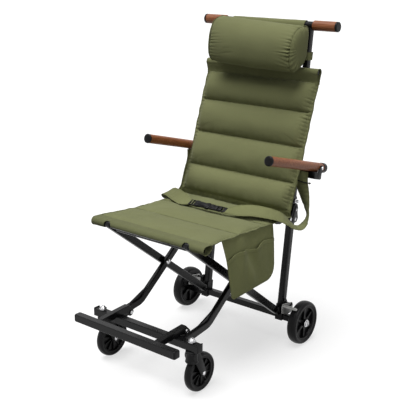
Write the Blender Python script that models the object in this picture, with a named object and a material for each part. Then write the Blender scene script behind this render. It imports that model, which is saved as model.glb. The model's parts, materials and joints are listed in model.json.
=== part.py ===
"""Folding transport chair, built as separate solids around its real pivots.

Metres, +Z up. The chair faces -Y and +X is the sitter's left. The floor is z = 0.
Side-view points are (y, z) pairs, measured from the scissor pivot's own datum;
the whole chair is then shifted along Y so that its depth is centred on the origin.
"""
import math

import bmesh
import bpy
from mathutils import Vector

# Running gap between neighbouring pieces
GAP = 0.0003

# Side scissor
SCISSOR_Y = -0.0440
SCISSOR_Z = 0.2750
HALF_SPAN = 0.2270
HALF_RISE = 0.1737
FRONT_TUBE_REACH = 0.3123

# Uprights and posts, one straight line in side view
UPRIGHT_X = 0.1630
UPRIGHT_Y = 0.2110
UPRIGHT_DATUM_Z = 0.1000
LEAN_DEG = 6.52
UPRIGHT_SIZE = 0.0240
UPRIGHT_WALL = 0.0023
UPRIGHT_FOOT_Z = 0.1040
UPRIGHT_TOP_Z = 0.4150
MAST_FOOT_Z = 0.1250
POST_SIZE = 0.0210
TUBE_CORNER = 0.0050

# Legs and braces
LEG_X = 0.1426
LEG_WIDTH = 0.0160
LEG_DEPTH = 0.0250
LEG_CORNER = 0.0040
LEG_BEND_Y = -0.1760
LEG_BEND_RADIUS = 0.0550
LEG_TIP = 0.0120
GUSSET_REACH = 0.0300
GUSSET_THICKNESS = 0.0050
BRACE_WIDTH = 0.0160
BRACE_DEPTH = 0.0250
EDGE_ROUND = 0.0025

# Pivot bolts
PIVOT_RADIUS = 0.0040
PIVOT_HEAD_RADIUS = 0.0070
PIVOT_HEAD_HEIGHT = 0.0030
DOME_RADIUS = 0.0090
DOME_HEIGHT = 0.0060

# Knuckle on the mast and fork on the post
KNUCKLE_Z = 0.4520
KNUCKLE_RADIUS = 0.0140
KNUCKLE_DEPTH = 0.0340
TONGUE_WIDTH = 0.0120
FORK_BRIDGE = 0.0200
EAR_THICKNESS = 0.0050
EAR_RADIUS = 0.0120
EAR_DROP = 0.0330
LATCH_Z = 0.4820
LATCH_RADIUS = 0.0030
LATCH_DEPTH = 0.0080
KNOB_RADIUS = 0.0060
KNOB_LENGTH = 0.0090
KNOB_STANDOFF = 0.0040

# Base brackets, rear bar and wheels
REAR_BAR_SIZE = 0.0220
REAR_BAR_Z = 0.0800
SOCKET_WALL = 0.0030
SOCKET_TOP_Z = 0.1200
BLOCK_BOTTOM_Z = 0.0640
CHEEK_THICKNESS = 0.0060
REAR_WHEEL_DIAMETER = 0.1500
REAR_WHEEL_X = 0.2520
REAR_WHEEL_Y = 0.2078
REAR_TYRE_WIDTH = 0.0340
REAR_TYRE_DEPTH = 0.0170
REAR_BOSS_LENGTH = 0.0370
AXLE_RADIUS = 0.0060
AXLE_HEAD_RADIUS = 0.0095
AXLE_HEAD_LENGTH = 0.0035
AXLE_ARM_HALF = 0.0110
SPOKES = 6
SPOKE_WIDTH = 0.0080
HUB_WEB = 0.0030

# Brake levers
BRAKE_PIVOT_Y = 0.2070
BRAKE_PIVOT_Z = 0.1290
BRAKE_PLATE_X = 0.2030
BRAKE_PLATE_THICKNESS = 0.0030
BRAKE_PAD_RADIUS = 0.0050
BRAKE_PAD_GAP = 0.0080
BRAKE_PAD_ANGLE_DEG = 126.0

# Front bar and casters
FRONT_BAR_SIZE = 0.0250
FRONT_BAR_Y = -0.3045
FRONT_BAR_Z = 0.1600
FRONT_BAR_HALF = 0.2150
CASTER_X = 0.1854
CASTER_DIAMETER = 0.1250
CASTER_TRAIL = 0.0360
TYRE_CROWN_SHARES = ((-1, 0.62), (-0.78, 0.20), (-0.4, 0.03), (0, 0), (0.4, 0.03), (0.78, 0.20), (1, 0.62))
TYRE_BORE_SHARE = 0.9
CASTER_TYRE_WIDTH = 0.0260
CASTER_TYRE_DEPTH = 0.0130
CASTER_HOUSING_RADIUS = 0.0200
CASTER_HOUSING_LENGTH = 0.0380
CASTER_PLATE = 0.0035
CASTER_PLATE_GAP = 0.0022
STEM_RADIUS = 0.0050
STEM_DEPTH = 0.0150
STEM_HEAD_RADIUS = 0.0105
STEM_HEAD_HEIGHT = 0.0090

# Footrest
FOOT_BAR_SIZE = 0.0250
FOOT_BAR_Y = -0.3980
FOOT_BAR_Z = 0.1745
FOOT_BAR_HALF = 0.2050
FOOT_HINGE_Y = -0.2556
FOOT_HINGE_Z = 0.1686
FOOT_ARM_X = 0.1190
FOOT_ARM_WIDTH = 0.0200
FOOT_ARM_WALL = 0.0030
FOOT_ARM_CROWN = 0.0220
FOOT_ARM_ROUND = 0.0130

# Seat and its tubes
SEAT_TUBE_RADIUS = 0.0100
FRONT_TUBE_HALF = 0.2220
SEAT_BAR_RADIUS = 0.0090
SEAT_BAR_BACKSET = 0.0300
SEAT_HALF_WIDTH = 0.2280
CLOTH = 0.0024
CLOTH_EASE = 0.0008
SEAT_PAD_ABOVE = 0.0060
SEAT_PAD_BELOW = 0.0025
SEAT_SAG = 0.0050
SEAT_SEAM_YS = (-0.1190, 0.0220)
SEAT_REAR_FULL_Y = 0.1480
SEAT_SHARES = (0.15, 0.5, 0.85, 1.0)
SEAT_COLUMNS = 12

# Top bar, grips and sleeve bar
TOP_BAR_Z = 1.0578
TOP_BAR_RADIUS = 0.0125
GRIP_RADIUS = 0.0165
GRIP_CORE_RADIUS = 0.0110
GRIP_START_X = 0.1765
GRIP_CAP = 0.0070
TOP_BAR_HALF = 0.2677
SLEEVE_BAR_DROP = 0.1438
SLEEVE_BAR_Z = TOP_BAR_Z - SLEEVE_BAR_DROP
SLEEVE_BAR_RADIUS = 0.0085
SLEEVE_BAR_HALF = 0.2220

# Back cover: its sewn seams from the sleeve down, each at a reach in front of the posts' line
# and a share of the height from the foot to the sleeve bar
COVER_HALF_WIDTH = 0.2265
COVER_FOOT_Z = 0.4790
COVER_SEAM_REACHES = (0.0169, 0.0405, 0.0631, 0.0904, 0.1138)
COVER_SEAM_SHARES = (0.9264, 0.7080, 0.4575, 0.2023, 0.0)
CHANNEL_SHARES = (0.12, 0.35, 0.65, 0.88, 1.0)
COVER_FRONT_PUFF = 0.0175
COVER_BACK_PUFF = 0.0085
COVER_EDGE_BAND = 0.0200
COVER_COLUMNS = 12

# Head pillow
PILLOW_HALF_WIDTH = 0.1650
PILLOW_DROP = 0.0663
PILLOW_Z = TOP_BAR_Z - PILLOW_DROP
PILLOW_HALF_HEIGHT = 0.0840
PILLOW_DEPTH = 0.0960
PILLOW_FOOT_STEP = 0.0050

# Armrests
ARM_X = 0.2455
ARM_RADIUS = 0.0155
ARM_CORE_RADIUS = 0.0110
ARM_FRONT = (-0.0219, 0.6822)
ARM_REAR = (0.3080, 0.5977)
ARM_CAP = 0.0060
ARM_PIVOT_Y = 0.2656
ARM_TAB_THICKNESS = 0.0045
ARM_TAB_RADIUS = 0.0100
ARM_SHELF_FRONT_Y = 0.2000
ARM_SHELF_REAR_Y = 0.2420
ARM_SHELF_THICKNESS = 0.0180
ARM_FLANGE_WIDTH = 0.0200
ARM_PIN_END_X = 0.2380

# Side pocket, as (y, z) outline under the seat's edge
POCKET_X = 0.2280
POCKET_DEPTH = 0.0140
POCKET_WALL = 0.0020
POCKET_FRONT_Y = -0.2050
POCKET_REAR_Y = 0.0490
POCKET_TOP_STEPS = 8
POCKET_LOWER = ((0.0620, 0.3240), (0.0580, 0.2900), (0.0400, 0.2760), (-0.0460, 0.2740), (-0.1560, 0.2690))
POCKET_MOUTH = ((0.0500, 0.4100), (-0.0220, 0.4140), (-0.0600, 0.4070), (-0.1390, 0.4160), (-0.1850, 0.4060))

# Belt: middle lines from the buckle outwards, as (x, y, z, heading of the width, its rise);
# on the seat, z is counted from the seat's own line at that y
BELT_WIDTH = 0.0460
BELT_THICKNESS = 0.0020
BUCKLE_Y = 0.0050
BUCKLE_ABOVE_SEAT = 0.0237
BUCKLE_LEAN_DEG = 30.0
STRAIGHT_LEAD = 0.0120
BELT_ON_SEAT = {
    "left": ((-0.1150, 0.0180, 0.0231, 90, 34), (-0.1700, 0.0380, 0.0245, 78, 40), (-0.2280, 0.0720, 0.0238, 68, 26)),
    "right": ((0.1150, 0.0330, 0.0224, 90, 30), (0.1750, 0.0520, 0.0236, 92, 30), (0.2280, 0.0720, 0.0238, 112, 26)),
}
BELT_LOOP = (
    (0.2540, 0.1120, 0.4640, 148, 6),
    (0.2550, 0.1500, 0.4340, 172, -6),
    (0.2530, 0.1800, 0.4220, 178, -8),
    (0.2500, 0.2050, 0.4285, 158, 0),
    (0.2480, 0.2160, 0.4540, 128, 0),
    (0.2430, 0.2190, 0.4873, 140, 0),
    (0.2350, 0.2130, 0.5213, 160, 0),
    (0.2260, 0.2040, 0.5520, 180, 0),
)
BELT_TOP = (0.2210, 0.6050)
SOCKET_LENGTH = 0.0850
SOCKET_HEIGHT = 0.0340
SOCKET_THICKNESS = 0.0130
TONGUE_LENGTH = 0.0640
TONGUE_HEIGHT = 0.0300
TONGUE_THICKNESS = 0.0100
BUCKLE_END_HEIGHT = 0.0240
PRONG_LENGTH = 0.0220
PRONG_THICKNESS = 0.0034
PRONG_HEIGHT = 0.0200
SOCKET_START_X = -0.0800

# Facets round a full turn
WHEEL_FACETS = 36
TUBE_FACETS = 18
BOLT_FACETS = 12

# Everything below follows from the sizes above
LEAN = math.radians(LEAN_DEG)
SCISSOR = (SCISSOR_Y, SCISSOR_Z)
BRACE_PIVOT = (SCISSOR_Y + HALF_SPAN, SCISSOR_Z - HALF_RISE)
LEG_PIVOT = (SCISSOR_Y + HALF_SPAN, SCISSOR_Z + HALF_RISE)
ARM_LENGTH_OF_SCISSOR = math.hypot(HALF_SPAN, HALF_RISE)
FORWARD_UP = (-HALF_SPAN / ARM_LENGTH_OF_SCISSOR, HALF_RISE / ARM_LENGTH_OF_SCISSOR)
FRONT_TUBE = (
    SCISSOR_Y + FORWARD_UP[0] * FRONT_TUBE_REACH,
    SCISSOR_Z + FORWARD_UP[1] * FRONT_TUBE_REACH,
)
SEAT_BAR = (
    FRONT_TUBE[0] - FORWARD_UP[0] * SEAT_BAR_BACKSET,
    FRONT_TUBE[1] - FORWARD_UP[1] * SEAT_BAR_BACKSET,
)
BRACE_X = LEG_X + LEG_WIDTH / 2 + GAP + BRACE_WIDTH / 2
REAR_WHEEL_RADIUS = REAR_WHEEL_DIAMETER / 2
CASTER_RADIUS = CASTER_DIAMETER / 2
CASTER_AXLE = (FRONT_BAR_Y + CASTER_TRAIL, CASTER_RADIUS)
ARM_SLOPE = (ARM_REAR[1] - ARM_FRONT[1]) / (ARM_REAR[0] - ARM_FRONT[0])
ARM_PIVOT = (ARM_PIVOT_Y, ARM_FRONT[1] + (ARM_PIVOT_Y - ARM_FRONT[0]) * ARM_SLOPE)


def line_y(z):
    """Y of the uprights' and posts' common axis at height z."""
    return UPRIGHT_Y + (z - UPRIGHT_DATUM_Z) * math.tan(LEAN)


def leaned(across, z):
    """Point beside the posts' axis: across it, at the axis height z."""
    return (line_y(z) + across * math.cos(LEAN), z - across * math.sin(LEAN))


def cover_seam(reach, share):
    """Side-view place of a sewn seam of the back cover."""
    z = COVER_FOOT_Z + share * (SLEEVE_BAR_Z - COVER_FOOT_Z)
    return (line_y(z) - reach, z)


TOP_BAR = (line_y(TOP_BAR_Z), TOP_BAR_Z)
COVER_SEAMS = tuple(map(cover_seam, COVER_SEAM_REACHES, COVER_SEAM_SHARES))
KNUCKLE = (line_y(KNUCKLE_Z), KNUCKLE_Z)
SLEEVE_BAR = (
    line_y(SLEEVE_BAR_Z) - (POST_SIZE / 2 + SLEEVE_BAR_RADIUS + GAP) / math.cos(LEAN),
    SLEEVE_BAR_Z,
)
FRONT_REACH = FOOT_BAR_Y - FOOT_BAR_SIZE / 2
REAR_REACH = TOP_BAR[0] + GRIP_RADIUS
DEPTH_SHIFT = -(FRONT_REACH + REAR_REACH) / 2

SIDES = (("left", -1), ("right", 1))

MATERIALS = {
    "frame_black": ((0.018, 0.018, 0.019), 0.42, 0.6),
    "moulded_black": ((0.014, 0.014, 0.015), 0.55, 0.0),
    "tyre_black": ((0.020, 0.020, 0.021), 0.70, 0.0),
    "bright_steel": ((0.62, 0.62, 0.63), 0.28, 1.0),
    "wood_brown": ((0.205, 0.066, 0.032), 0.45, 0.0),
    "canvas_olive": ((0.140, 0.150, 0.072), 0.90, 0.0),
    "webbing_olive": ((0.150, 0.158, 0.080), 0.85, 0.0),
}


def clear_scene():
    for item in list(bpy.data.objects):
        bpy.data.objects.remove(item, do_unlink=True)


def make_materials():
    made = {}
    for name, (colour, roughness, metallic) in MATERIALS.items():
        material = bpy.data.materials.new(name)
        material.use_nodes = True
        shader = material.node_tree.nodes["Principled BSDF"]
        shader.inputs["Base Color"].default_value = (*colour, 1.0)
        shader.inputs["Roughness"].default_value = roughness
        shader.inputs["Metallic"].default_value = metallic
        made[name] = material
    return made


class Body:
    """An empty on a joint's axis that carries the pieces of one moving group."""

    def __init__(self, name, pivot, parent=None):
        self.pivot = Vector(pivot)
        self.empty = bpy.data.objects.new(name, None)
        bpy.context.scene.collection.objects.link(self.empty)
        if parent is None:
            self.empty.location = self.pivot + Vector((0, DEPTH_SHIFT, 0))
        else:
            self.empty.parent = parent.empty
            self.empty.location = self.pivot - parent.pivot


def add(body, name, bm, material=None, smooth=True):
    """Turn a closed bmesh in chair coordinates into an object on its body."""
    bmesh.ops.recalc_face_normals(bm, faces=bm.faces)
    bmesh.ops.translate(bm, verts=bm.verts, vec=-body.pivot)
    mesh = bpy.data.meshes.new(name)
    bm.to_mesh(mesh)
    bm.free()
    if smooth:
        mesh.shade_smooth()
        mesh.set_sharp_from_angle(angle=math.radians(35))
    item = bpy.data.objects.new(name, mesh)
    bpy.context.scene.collection.objects.link(item)
    item.parent = body.empty
    if material is not None:
        mesh.materials.append(material)
    return item


def apply_tool(body, item, bm, operation, label):
    """Cut from, or fuse to, an item the closed shapes of a bmesh."""
    tool = add(body, f"{item.name}_{label}", bm, smooth=False)
    tool.hide_render = True
    tool.display_type = "WIRE"
    modifier = item.modifiers.new(label, "BOOLEAN")
    modifier.operation = operation
    modifier.solver = "EXACT"
    modifier.object = tool


def cut(body, item, bm, label="cut"):
    apply_tool(body, item, bm, "DIFFERENCE", label)


def fuse(body, item, bm, label="fuse"):
    apply_tool(body, item, bm, "UNION", label)


def soften(item, width=EDGE_ROUND, segments=2, angle=40):
    modifier = item.modifiers.new("edge_round", "BEVEL")
    modifier.width = width
    modifier.segments = segments
    modifier.limit_method = "ANGLE"
    modifier.angle_limit = math.radians(angle)


def arc(centre, radius, start, end, steps):
    """Points on an arc in side view, angles in degrees from +Y towards +Z."""
    points = []
    for step in range(steps + 1):
        angle = math.radians(start + (end - start) * step / steps)
        points.append((centre[0] + radius * math.cos(angle), centre[1] + radius * math.sin(angle)))
    return points


def stadium(first, second, radius, steps=8):
    """Outline of a strip with round ends about two side-view points."""
    heading = math.degrees(math.atan2(second[1] - first[1], second[0] - first[0]))
    return (arc(second, radius, heading - 90, heading + 90, steps)
            + arc(first, radius, heading + 90, heading + 270, steps))


def tapered(first, first_radius, second, second_radius, steps=8):
    """Outline of a plate about two side-view points with its own radius at each."""
    span = math.hypot(second[0] - first[0], second[1] - first[1])
    heading = math.degrees(math.atan2(second[1] - first[1], second[0] - first[0]))
    lean = math.degrees(math.asin((first_radius - second_radius) / span))
    return (arc(second, second_radius, heading - 90 + lean, heading + 90 - lean, steps)
            + arc(first, first_radius, heading + 90 - lean, heading + 270 + lean, steps))


def rounded_rectangle(width, height, radius, steps=3):
    points = []
    for cx, cy, start in ((1, 1, 0), (-1, 1, 90), (-1, -1, 180), (1, -1, 270)):
        centre = (cx * (width / 2 - radius), cy * (height / 2 - radius))
        points += arc(centre, radius, start, start + 90, steps)
    return points


def box_outline(low, high):
    return [(low[0], low[1]), (high[0], low[1]), (high[0], high[1]), (low[0], high[1])]


def prism(outline, x0, x1, bm=None):
    """A side-view outline carried along X from x0 to x1."""
    bm = bm or bmesh.new()
    low, high = min(x0, x1), max(x0, x1)
    near = [bm.verts.new((low, y, z)) for y, z in outline]
    far = [bm.verts.new((high, y, z)) for y, z in outline]
    count = len(outline)
    bm.faces.new(near)
    bm.faces.new(list(reversed(far)))
    for i in range(count):
        j = (i + 1) % count
        bm.faces.new((near[i], far[i], far[j], near[j]))
    return bm


def turned(profile, centre, facets, bm=None, closed=False):
    """A profile of (x, radius) pairs turned about the X-wise line through a side-view point."""
    bm = bm or bmesh.new()
    rings = []
    for x, radius in profile:
        if radius == 0:
            rings.append([bm.verts.new((x, centre[0], centre[1]))])
            continue
        ring = []
        for step in range(facets):
            angle = 2 * math.pi * step / facets - math.pi / 2
            ring.append(bm.verts.new((x, centre[0] + radius * math.cos(angle),
                                      centre[1] + radius * math.sin(angle))))
        rings.append(ring)
    pairs = list(zip(rings, rings[1:] + rings[:1])) if closed else list(zip(rings, rings[1:]))
    for first, second in pairs:
        join_rings(bm, first, second)
    return bm


def join_rings(bm, first, second):
    count = max(len(first), len(second))
    for i in range(count):
        j = (i + 1) % count
        if len(first) == 1:
            bm.faces.new((first[0], second[i], second[j]))
        elif len(second) == 1:
            bm.faces.new((first[i], second[0], first[j]))
        else:
            bm.faces.new((first[i], second[i], second[j], first[j]))


def rod(x0, x1, centre, radius, facets=BOLT_FACETS, bm=None):
    return turned([(x0, 0), (x0, radius), (x1, radius), (x1, 0)], centre, facets, bm)


def domed_rod(x0, x1, centre, radius, head_radius, head_height, bm=None):
    """A bolt from x0 to x1 with a domed head beyond x1, growing away from x0."""
    way = 1 if x1 > x0 else -1
    profile = [(x0, 0), (x0, radius), (x1, radius), (x1, head_radius)]
    for degrees in (25, 50, 72):
        angle = math.radians(degrees)
        profile.append((x1 + way * head_height * math.sin(angle), head_radius * math.cos(angle)))
    profile.append((x1 + way * head_height, 0))
    return turned(profile, centre, BOLT_FACETS, bm)


def upright_rod(centre_xy, z0, z1, radius, facets=BOLT_FACETS, bm=None):
    """A vertical cylinder, or a turned shape where radius is a list of (z, radius)."""
    bm = bm or bmesh.new()
    profile = radius if isinstance(radius, list) else [(z0, 0), (z0, radius), (z1, radius), (z1, 0)]
    rings = []
    for z, r in profile:
        if r == 0:
            rings.append([bm.verts.new((centre_xy[0], centre_xy[1], z))])
            continue
        rings.append([bm.verts.new((centre_xy[0] + r * math.cos(2 * math.pi * k / facets),
                                    centre_xy[1] + r * math.sin(2 * math.pi * k / facets), z))
                      for k in range(facets)])
    for first, second in zip(rings, rings[1:]):
        join_rings(bm, first, second)
    return bm


def swept(path, x, section, inner=None, bm=None):
    """A section of (x offset, side offset) carried along a side-view path, mitred at its bends."""
    bm = bm or bmesh.new()
    frames = []
    for i, point in enumerate(path):
        before = path[max(i - 1, 0)]
        after = path[min(i + 1, len(path) - 1)]
        into = unit(before, point) if i > 0 else unit(point, after)
        out = unit(point, after) if i < len(path) - 1 else into
        heading = ((into[0] + out[0]) / 2, (into[1] + out[1]) / 2)
        length = math.hypot(*heading)
        normal = (-heading[1] / length, heading[0] / length)
        frames.append((point, normal, 1 / length))
    outer_rings = [ring_at(bm, frame, x, section) for frame in frames]
    for first, second in zip(outer_rings, outer_rings[1:]):
        join_rings(bm, first, second)
    if inner is None:
        bm.faces.new(outer_rings[0])
        bm.faces.new(outer_rings[-1])
        return bm
    inner_rings = [ring_at(bm, frame, x, inner) for frame in frames]
    for first, second in zip(inner_rings, inner_rings[1:]):
        join_rings(bm, first, second)
    join_rings(bm, outer_rings[0], inner_rings[0])
    join_rings(bm, outer_rings[-1], inner_rings[-1])
    return bm


def ring_at(bm, frame, x, section):
    (y, z), normal, stretch = frame
    return [bm.verts.new((x + dx, y + normal[0] * dn * stretch, z + normal[1] * dn * stretch))
            for dx, dn in section]


def unit(first, second):
    dy, dz = second[0] - first[0], second[1] - first[1]
    length = math.hypot(dy, dz)
    return (dy / length, dz / length)


def bar_across(x0, x1, centre, section, bm=None):
    """A straight bar along X with a section of (y offset, z offset)."""
    return prism([(centre[0] + dy, centre[1] + dz) for dy, dz in section], x0, x1, bm)


def sheet(rows, columns, bm=None):
    """A closed cloth body: rows of (point, normal), columns of x, thickness from a function.

    Each row is (y, z, ny, nz, front, back), where front and back are functions of x.
    """
    bm = bm or bmesh.new()
    front, back = [], []
    for y, z, ny, nz, front_of, back_of in rows:
        front.append([bm.verts.new((x, y + ny * front_of(x), z + nz * front_of(x))) for x in columns])
        back.append([bm.verts.new((x, y - ny * back_of(x), z - nz * back_of(x))) for x in columns])
    last_row, last_column = len(rows) - 1, len(columns) - 1
    for i in range(last_row):
        for j in range(last_column):
            bm.faces.new((front[i][j], front[i][j + 1], front[i + 1][j + 1], front[i + 1][j]))
            bm.faces.new((back[i][j], back[i + 1][j], back[i + 1][j + 1], back[i][j + 1]))
        for j in (0, last_column):
            bm.faces.new((front[i][j], front[i + 1][j], back[i + 1][j], back[i][j]))
    for i in (0, last_row):
        for j in range(last_column):
            bm.faces.new((front[i][j], back[i][j], back[i][j + 1], front[i][j + 1]))
    return bm


def path_rows(path, front_of, back_of):
    """Rows for a sheet: each path point gets the normal on the left of its heading."""
    rows = []
    last = len(path) - 1
    for i, (y, z) in enumerate(path):
        into = unit(path[max(i - 1, 0)], path[max(i, 1)])
        out = unit(path[min(i, last - 1)], path[min(i + 1, last)])
        heading = ((into[0] + out[0]) / 2, (into[1] + out[1]) / 2)
        square = heading[0] ** 2 + heading[1] ** 2
        rows.append((y, z, -heading[1] / square, heading[0] / square, front_of(i), back_of(i)))
    return rows


def even_columns(half_width, count):
    return [half_width * (2 * k / count - 1) for k in range(count + 1)]


def tyre_profile(centre_x, radius, width, depth):
    """Closed outline of a tyre's section as (x, radius): crowned tread, straight bore."""
    half = width / 2
    points = [(centre_x + half * across, radius - depth * drop) for across, drop in TYRE_CROWN_SHARES]
    points.append((centre_x + half * TYRE_BORE_SHARE, radius - depth))
    points.append((centre_x - half * TYRE_BORE_SHARE, radius - depth))
    return points


def wheel_hub(body, name, centre_x, centre, rim_radius, width, boss_length, bore, material):
    """A hub in one piece: rim, closed web with spokes on both faces, and boss, bored for its axle."""
    inside = rim_radius * 0.90
    boss_radius = bore * 2.1
    half, boss_half, web_half = width / 2, boss_length / 2, HUB_WEB / 2
    left = [(-boss_half, 0), (-boss_half, boss_radius), (-web_half, boss_radius), (-web_half, inside),
            (-half, inside), (-half, rim_radius)]
    right = [(-dx, r) for dx, r in reversed(left)]
    section = [(centre_x + dx, r) for dx, r in left + right]
    hub = add(body, name, turned(section, centre, WHEEL_FACETS), material)
    spokes = bmesh.new()
    for k in range(SPOKES):
        angle = 2 * math.pi * (k + 0.5) / SPOKES
        along = (math.cos(angle), math.sin(angle))
        side = (-along[1] * SPOKE_WIDTH / 2, along[0] * SPOKE_WIDTH / 2)
        inner, outer = boss_radius * 0.86, (rim_radius + inside) / 2
        outline = [(centre[0] + along[0] * r + side[0] * s, centre[1] + along[1] * r + side[1] * s)
                   for r, s in ((inner, -1), (outer, -1), (outer, 1), (inner, 1))]
        prism(outline, centre_x - width * 0.28, centre_x + width * 0.28, spokes)
    fuse(body, hub, spokes, "spokes")
    cut(body, hub, rod(centre_x - boss_length, centre_x + boss_length, centre, bore), "bore")
    return hub


def build_rear_frame(body, mats):
    """Rear bar, uprights, base brackets and axles."""
    square = rounded_rectangle(REAR_BAR_SIZE, REAR_BAR_SIZE, TUBE_CORNER / 2)
    outer_x = UPRIGHT_X + UPRIGHT_SIZE / 2 + SOCKET_WALL
    inner_x = UPRIGHT_X - UPRIGHT_SIZE / 2 - GAP
    bar_centre = (line_y(REAR_BAR_Z), REAR_BAR_Z)
    bar = bar_across(-inner_x + GAP, inner_x - GAP, bar_centre, square)
    add(body, "rear_cross_bar", bar, mats["frame_black"])
    outer = rounded_rectangle(UPRIGHT_SIZE, UPRIGHT_SIZE, TUBE_CORNER)
    bore = rounded_rectangle(UPRIGHT_SIZE - 2 * UPRIGHT_WALL, UPRIGHT_SIZE - 2 * UPRIGHT_WALL,
                             TUBE_CORNER - UPRIGHT_WALL)
    path = [(line_y(UPRIGHT_FOOT_Z), UPRIGHT_FOOT_Z), (line_y(UPRIGHT_TOP_Z), UPRIGHT_TOP_Z)]
    for side, way in SIDES:
        add(body, f"upright_{side}", swept(path, way * UPRIGHT_X, outer, bore), mats["frame_black"])
        add_base_bracket(body, side, way, inner_x, outer_x, mats)
        add_rear_axle(body, side, way, mats)


def add_base_bracket(body, side, way, inner_x, outer_x, mats):
    """Socket for the upright, cheek and pin for the brace, and the arm to the wheel."""
    half = UPRIGHT_SIZE / 2 + SOCKET_WALL
    block = [(line_y(BLOCK_BOTTOM_Z) - half, BLOCK_BOTTOM_Z), (line_y(BLOCK_BOTTOM_Z) + half, BLOCK_BOTTOM_Z),
             (line_y(SOCKET_TOP_Z) + half, SOCKET_TOP_Z), (line_y(SOCKET_TOP_Z) - half, SOCKET_TOP_Z)]
    bracket = add(body, f"base_bracket_{side}", prism(block, way * inner_x, way * outer_x),
                  mats["moulded_black"], smooth=False)
    brace_outer = BRACE_X + BRACE_WIDTH / 2 + GAP
    cheek = tapered((line_y(BRACE_PIVOT[1]), BRACE_PIVOT[1]), half, BRACE_PIVOT, EAR_RADIUS)
    fuse(body, bracket, prism(cheek, way * brace_outer, way * (brace_outer + CHEEK_THICKNESS)), "cheek")
    arm_end = REAR_WHEEL_X - REAR_BOSS_LENGTH / 2 - GAP
    arm = rounded_rectangle(AXLE_ARM_HALF * 2, AXLE_ARM_HALF * 2, TUBE_CORNER)
    fuse(body, bracket, bar_across(way * (inner_x + SOCKET_WALL), way * arm_end,
                                   (REAR_WHEEL_Y, REAR_WHEEL_RADIUS), arm), "arm")
    head_x = BRACE_X - BRACE_WIDTH / 2 - GAP
    pin = domed_rod(way * (brace_outer + CHEEK_THICKNESS / 2), way * head_x, BRACE_PIVOT,
                    PIVOT_RADIUS, PIVOT_HEAD_RADIUS, PIVOT_HEAD_HEIGHT)
    fuse(body, bracket, pin, "pin")
    brake_pin = domed_rod(way * (outer_x - SOCKET_WALL), way * (BRAKE_PLATE_X + BRAKE_PLATE_THICKNESS + GAP),
                          (BRAKE_PIVOT_Y, BRAKE_PIVOT_Z), PIVOT_RADIUS, PIVOT_HEAD_RADIUS, PIVOT_HEAD_HEIGHT)
    stalk = tapered((line_y(SOCKET_TOP_Z - half), SOCKET_TOP_Z - half), half,
                    (BRAKE_PIVOT_Y, BRAKE_PIVOT_Z), EAR_RADIUS)
    stalk_x = UPRIGHT_X + UPRIGHT_SIZE / 2 + GAP
    fuse(body, bracket, prism(stalk, way * stalk_x, way * (stalk_x + CHEEK_THICKNESS)), "stalk")
    fuse(body, bracket, brake_pin, "brake_pin")
    hole = rounded_rectangle(UPRIGHT_SIZE + 2 * GAP, UPRIGHT_SIZE + 2 * GAP, TUBE_CORNER)
    top = SOCKET_TOP_Z + UPRIGHT_SIZE
    floor = UPRIGHT_FOOT_Z - GAP
    cut(body, bracket, swept([(line_y(floor), floor), (line_y(top), top)], way * UPRIGHT_X, hole), "socket")
    cut(body, bracket, rod(way * (arm_end - REAR_BOSS_LENGTH / 2), way * (arm_end + REAR_BOSS_LENGTH),
                           (REAR_WHEEL_Y, REAR_WHEEL_RADIUS), AXLE_RADIUS + GAP), "axle_bore")


def add_rear_axle(body, side, way, mats):
    start = REAR_WHEEL_X - REAR_BOSS_LENGTH
    end = REAR_WHEEL_X + REAR_BOSS_LENGTH / 2 + GAP
    centre = (REAR_WHEEL_Y, REAR_WHEEL_RADIUS)
    head = end + AXLE_HEAD_LENGTH
    profile = [(way * (start + GAP), 0), (way * (start + GAP), AXLE_RADIUS), (way * end, AXLE_RADIUS),
               (way * end, AXLE_HEAD_RADIUS), (way * (head - GAP * 3), AXLE_HEAD_RADIUS),
               (way * head, AXLE_HEAD_RADIUS * 0.85), (way * head, 0)]
    add(body, f"rear_axle_{side}", turned(profile, centre, BOLT_FACETS), mats["bright_steel"])


def build_rear_wheel(parent, side, way, mats):
    centre = (REAR_WHEEL_Y, REAR_WHEEL_RADIUS)
    body = Body(f"rear_wheel_{side}_spin", (way * REAR_WHEEL_X, *centre), parent)
    tyre = tyre_profile(way * REAR_WHEEL_X, REAR_WHEEL_RADIUS, REAR_TYRE_WIDTH, REAR_TYRE_DEPTH)
    add(body, f"rear_tyre_{side}", turned(tyre, centre, WHEEL_FACETS, closed=True), mats["tyre_black"])
    wheel_hub(body, f"rear_hub_{side}", way * REAR_WHEEL_X, centre,
              REAR_WHEEL_RADIUS - REAR_TYRE_DEPTH - GAP, REAR_TYRE_WIDTH * 0.8, REAR_BOSS_LENGTH,
              AXLE_RADIUS + GAP, mats["moulded_black"])


def brake_pad_centre():
    """The pad's bar lies in front of the tyre, just off its tread."""
    reach = REAR_WHEEL_RADIUS + BRAKE_PAD_RADIUS + BRAKE_PAD_GAP
    angle = math.radians(BRAKE_PAD_ANGLE_DEG)
    return (REAR_WHEEL_Y + reach * math.cos(angle), REAR_WHEEL_RADIUS + reach * math.sin(angle))


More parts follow.
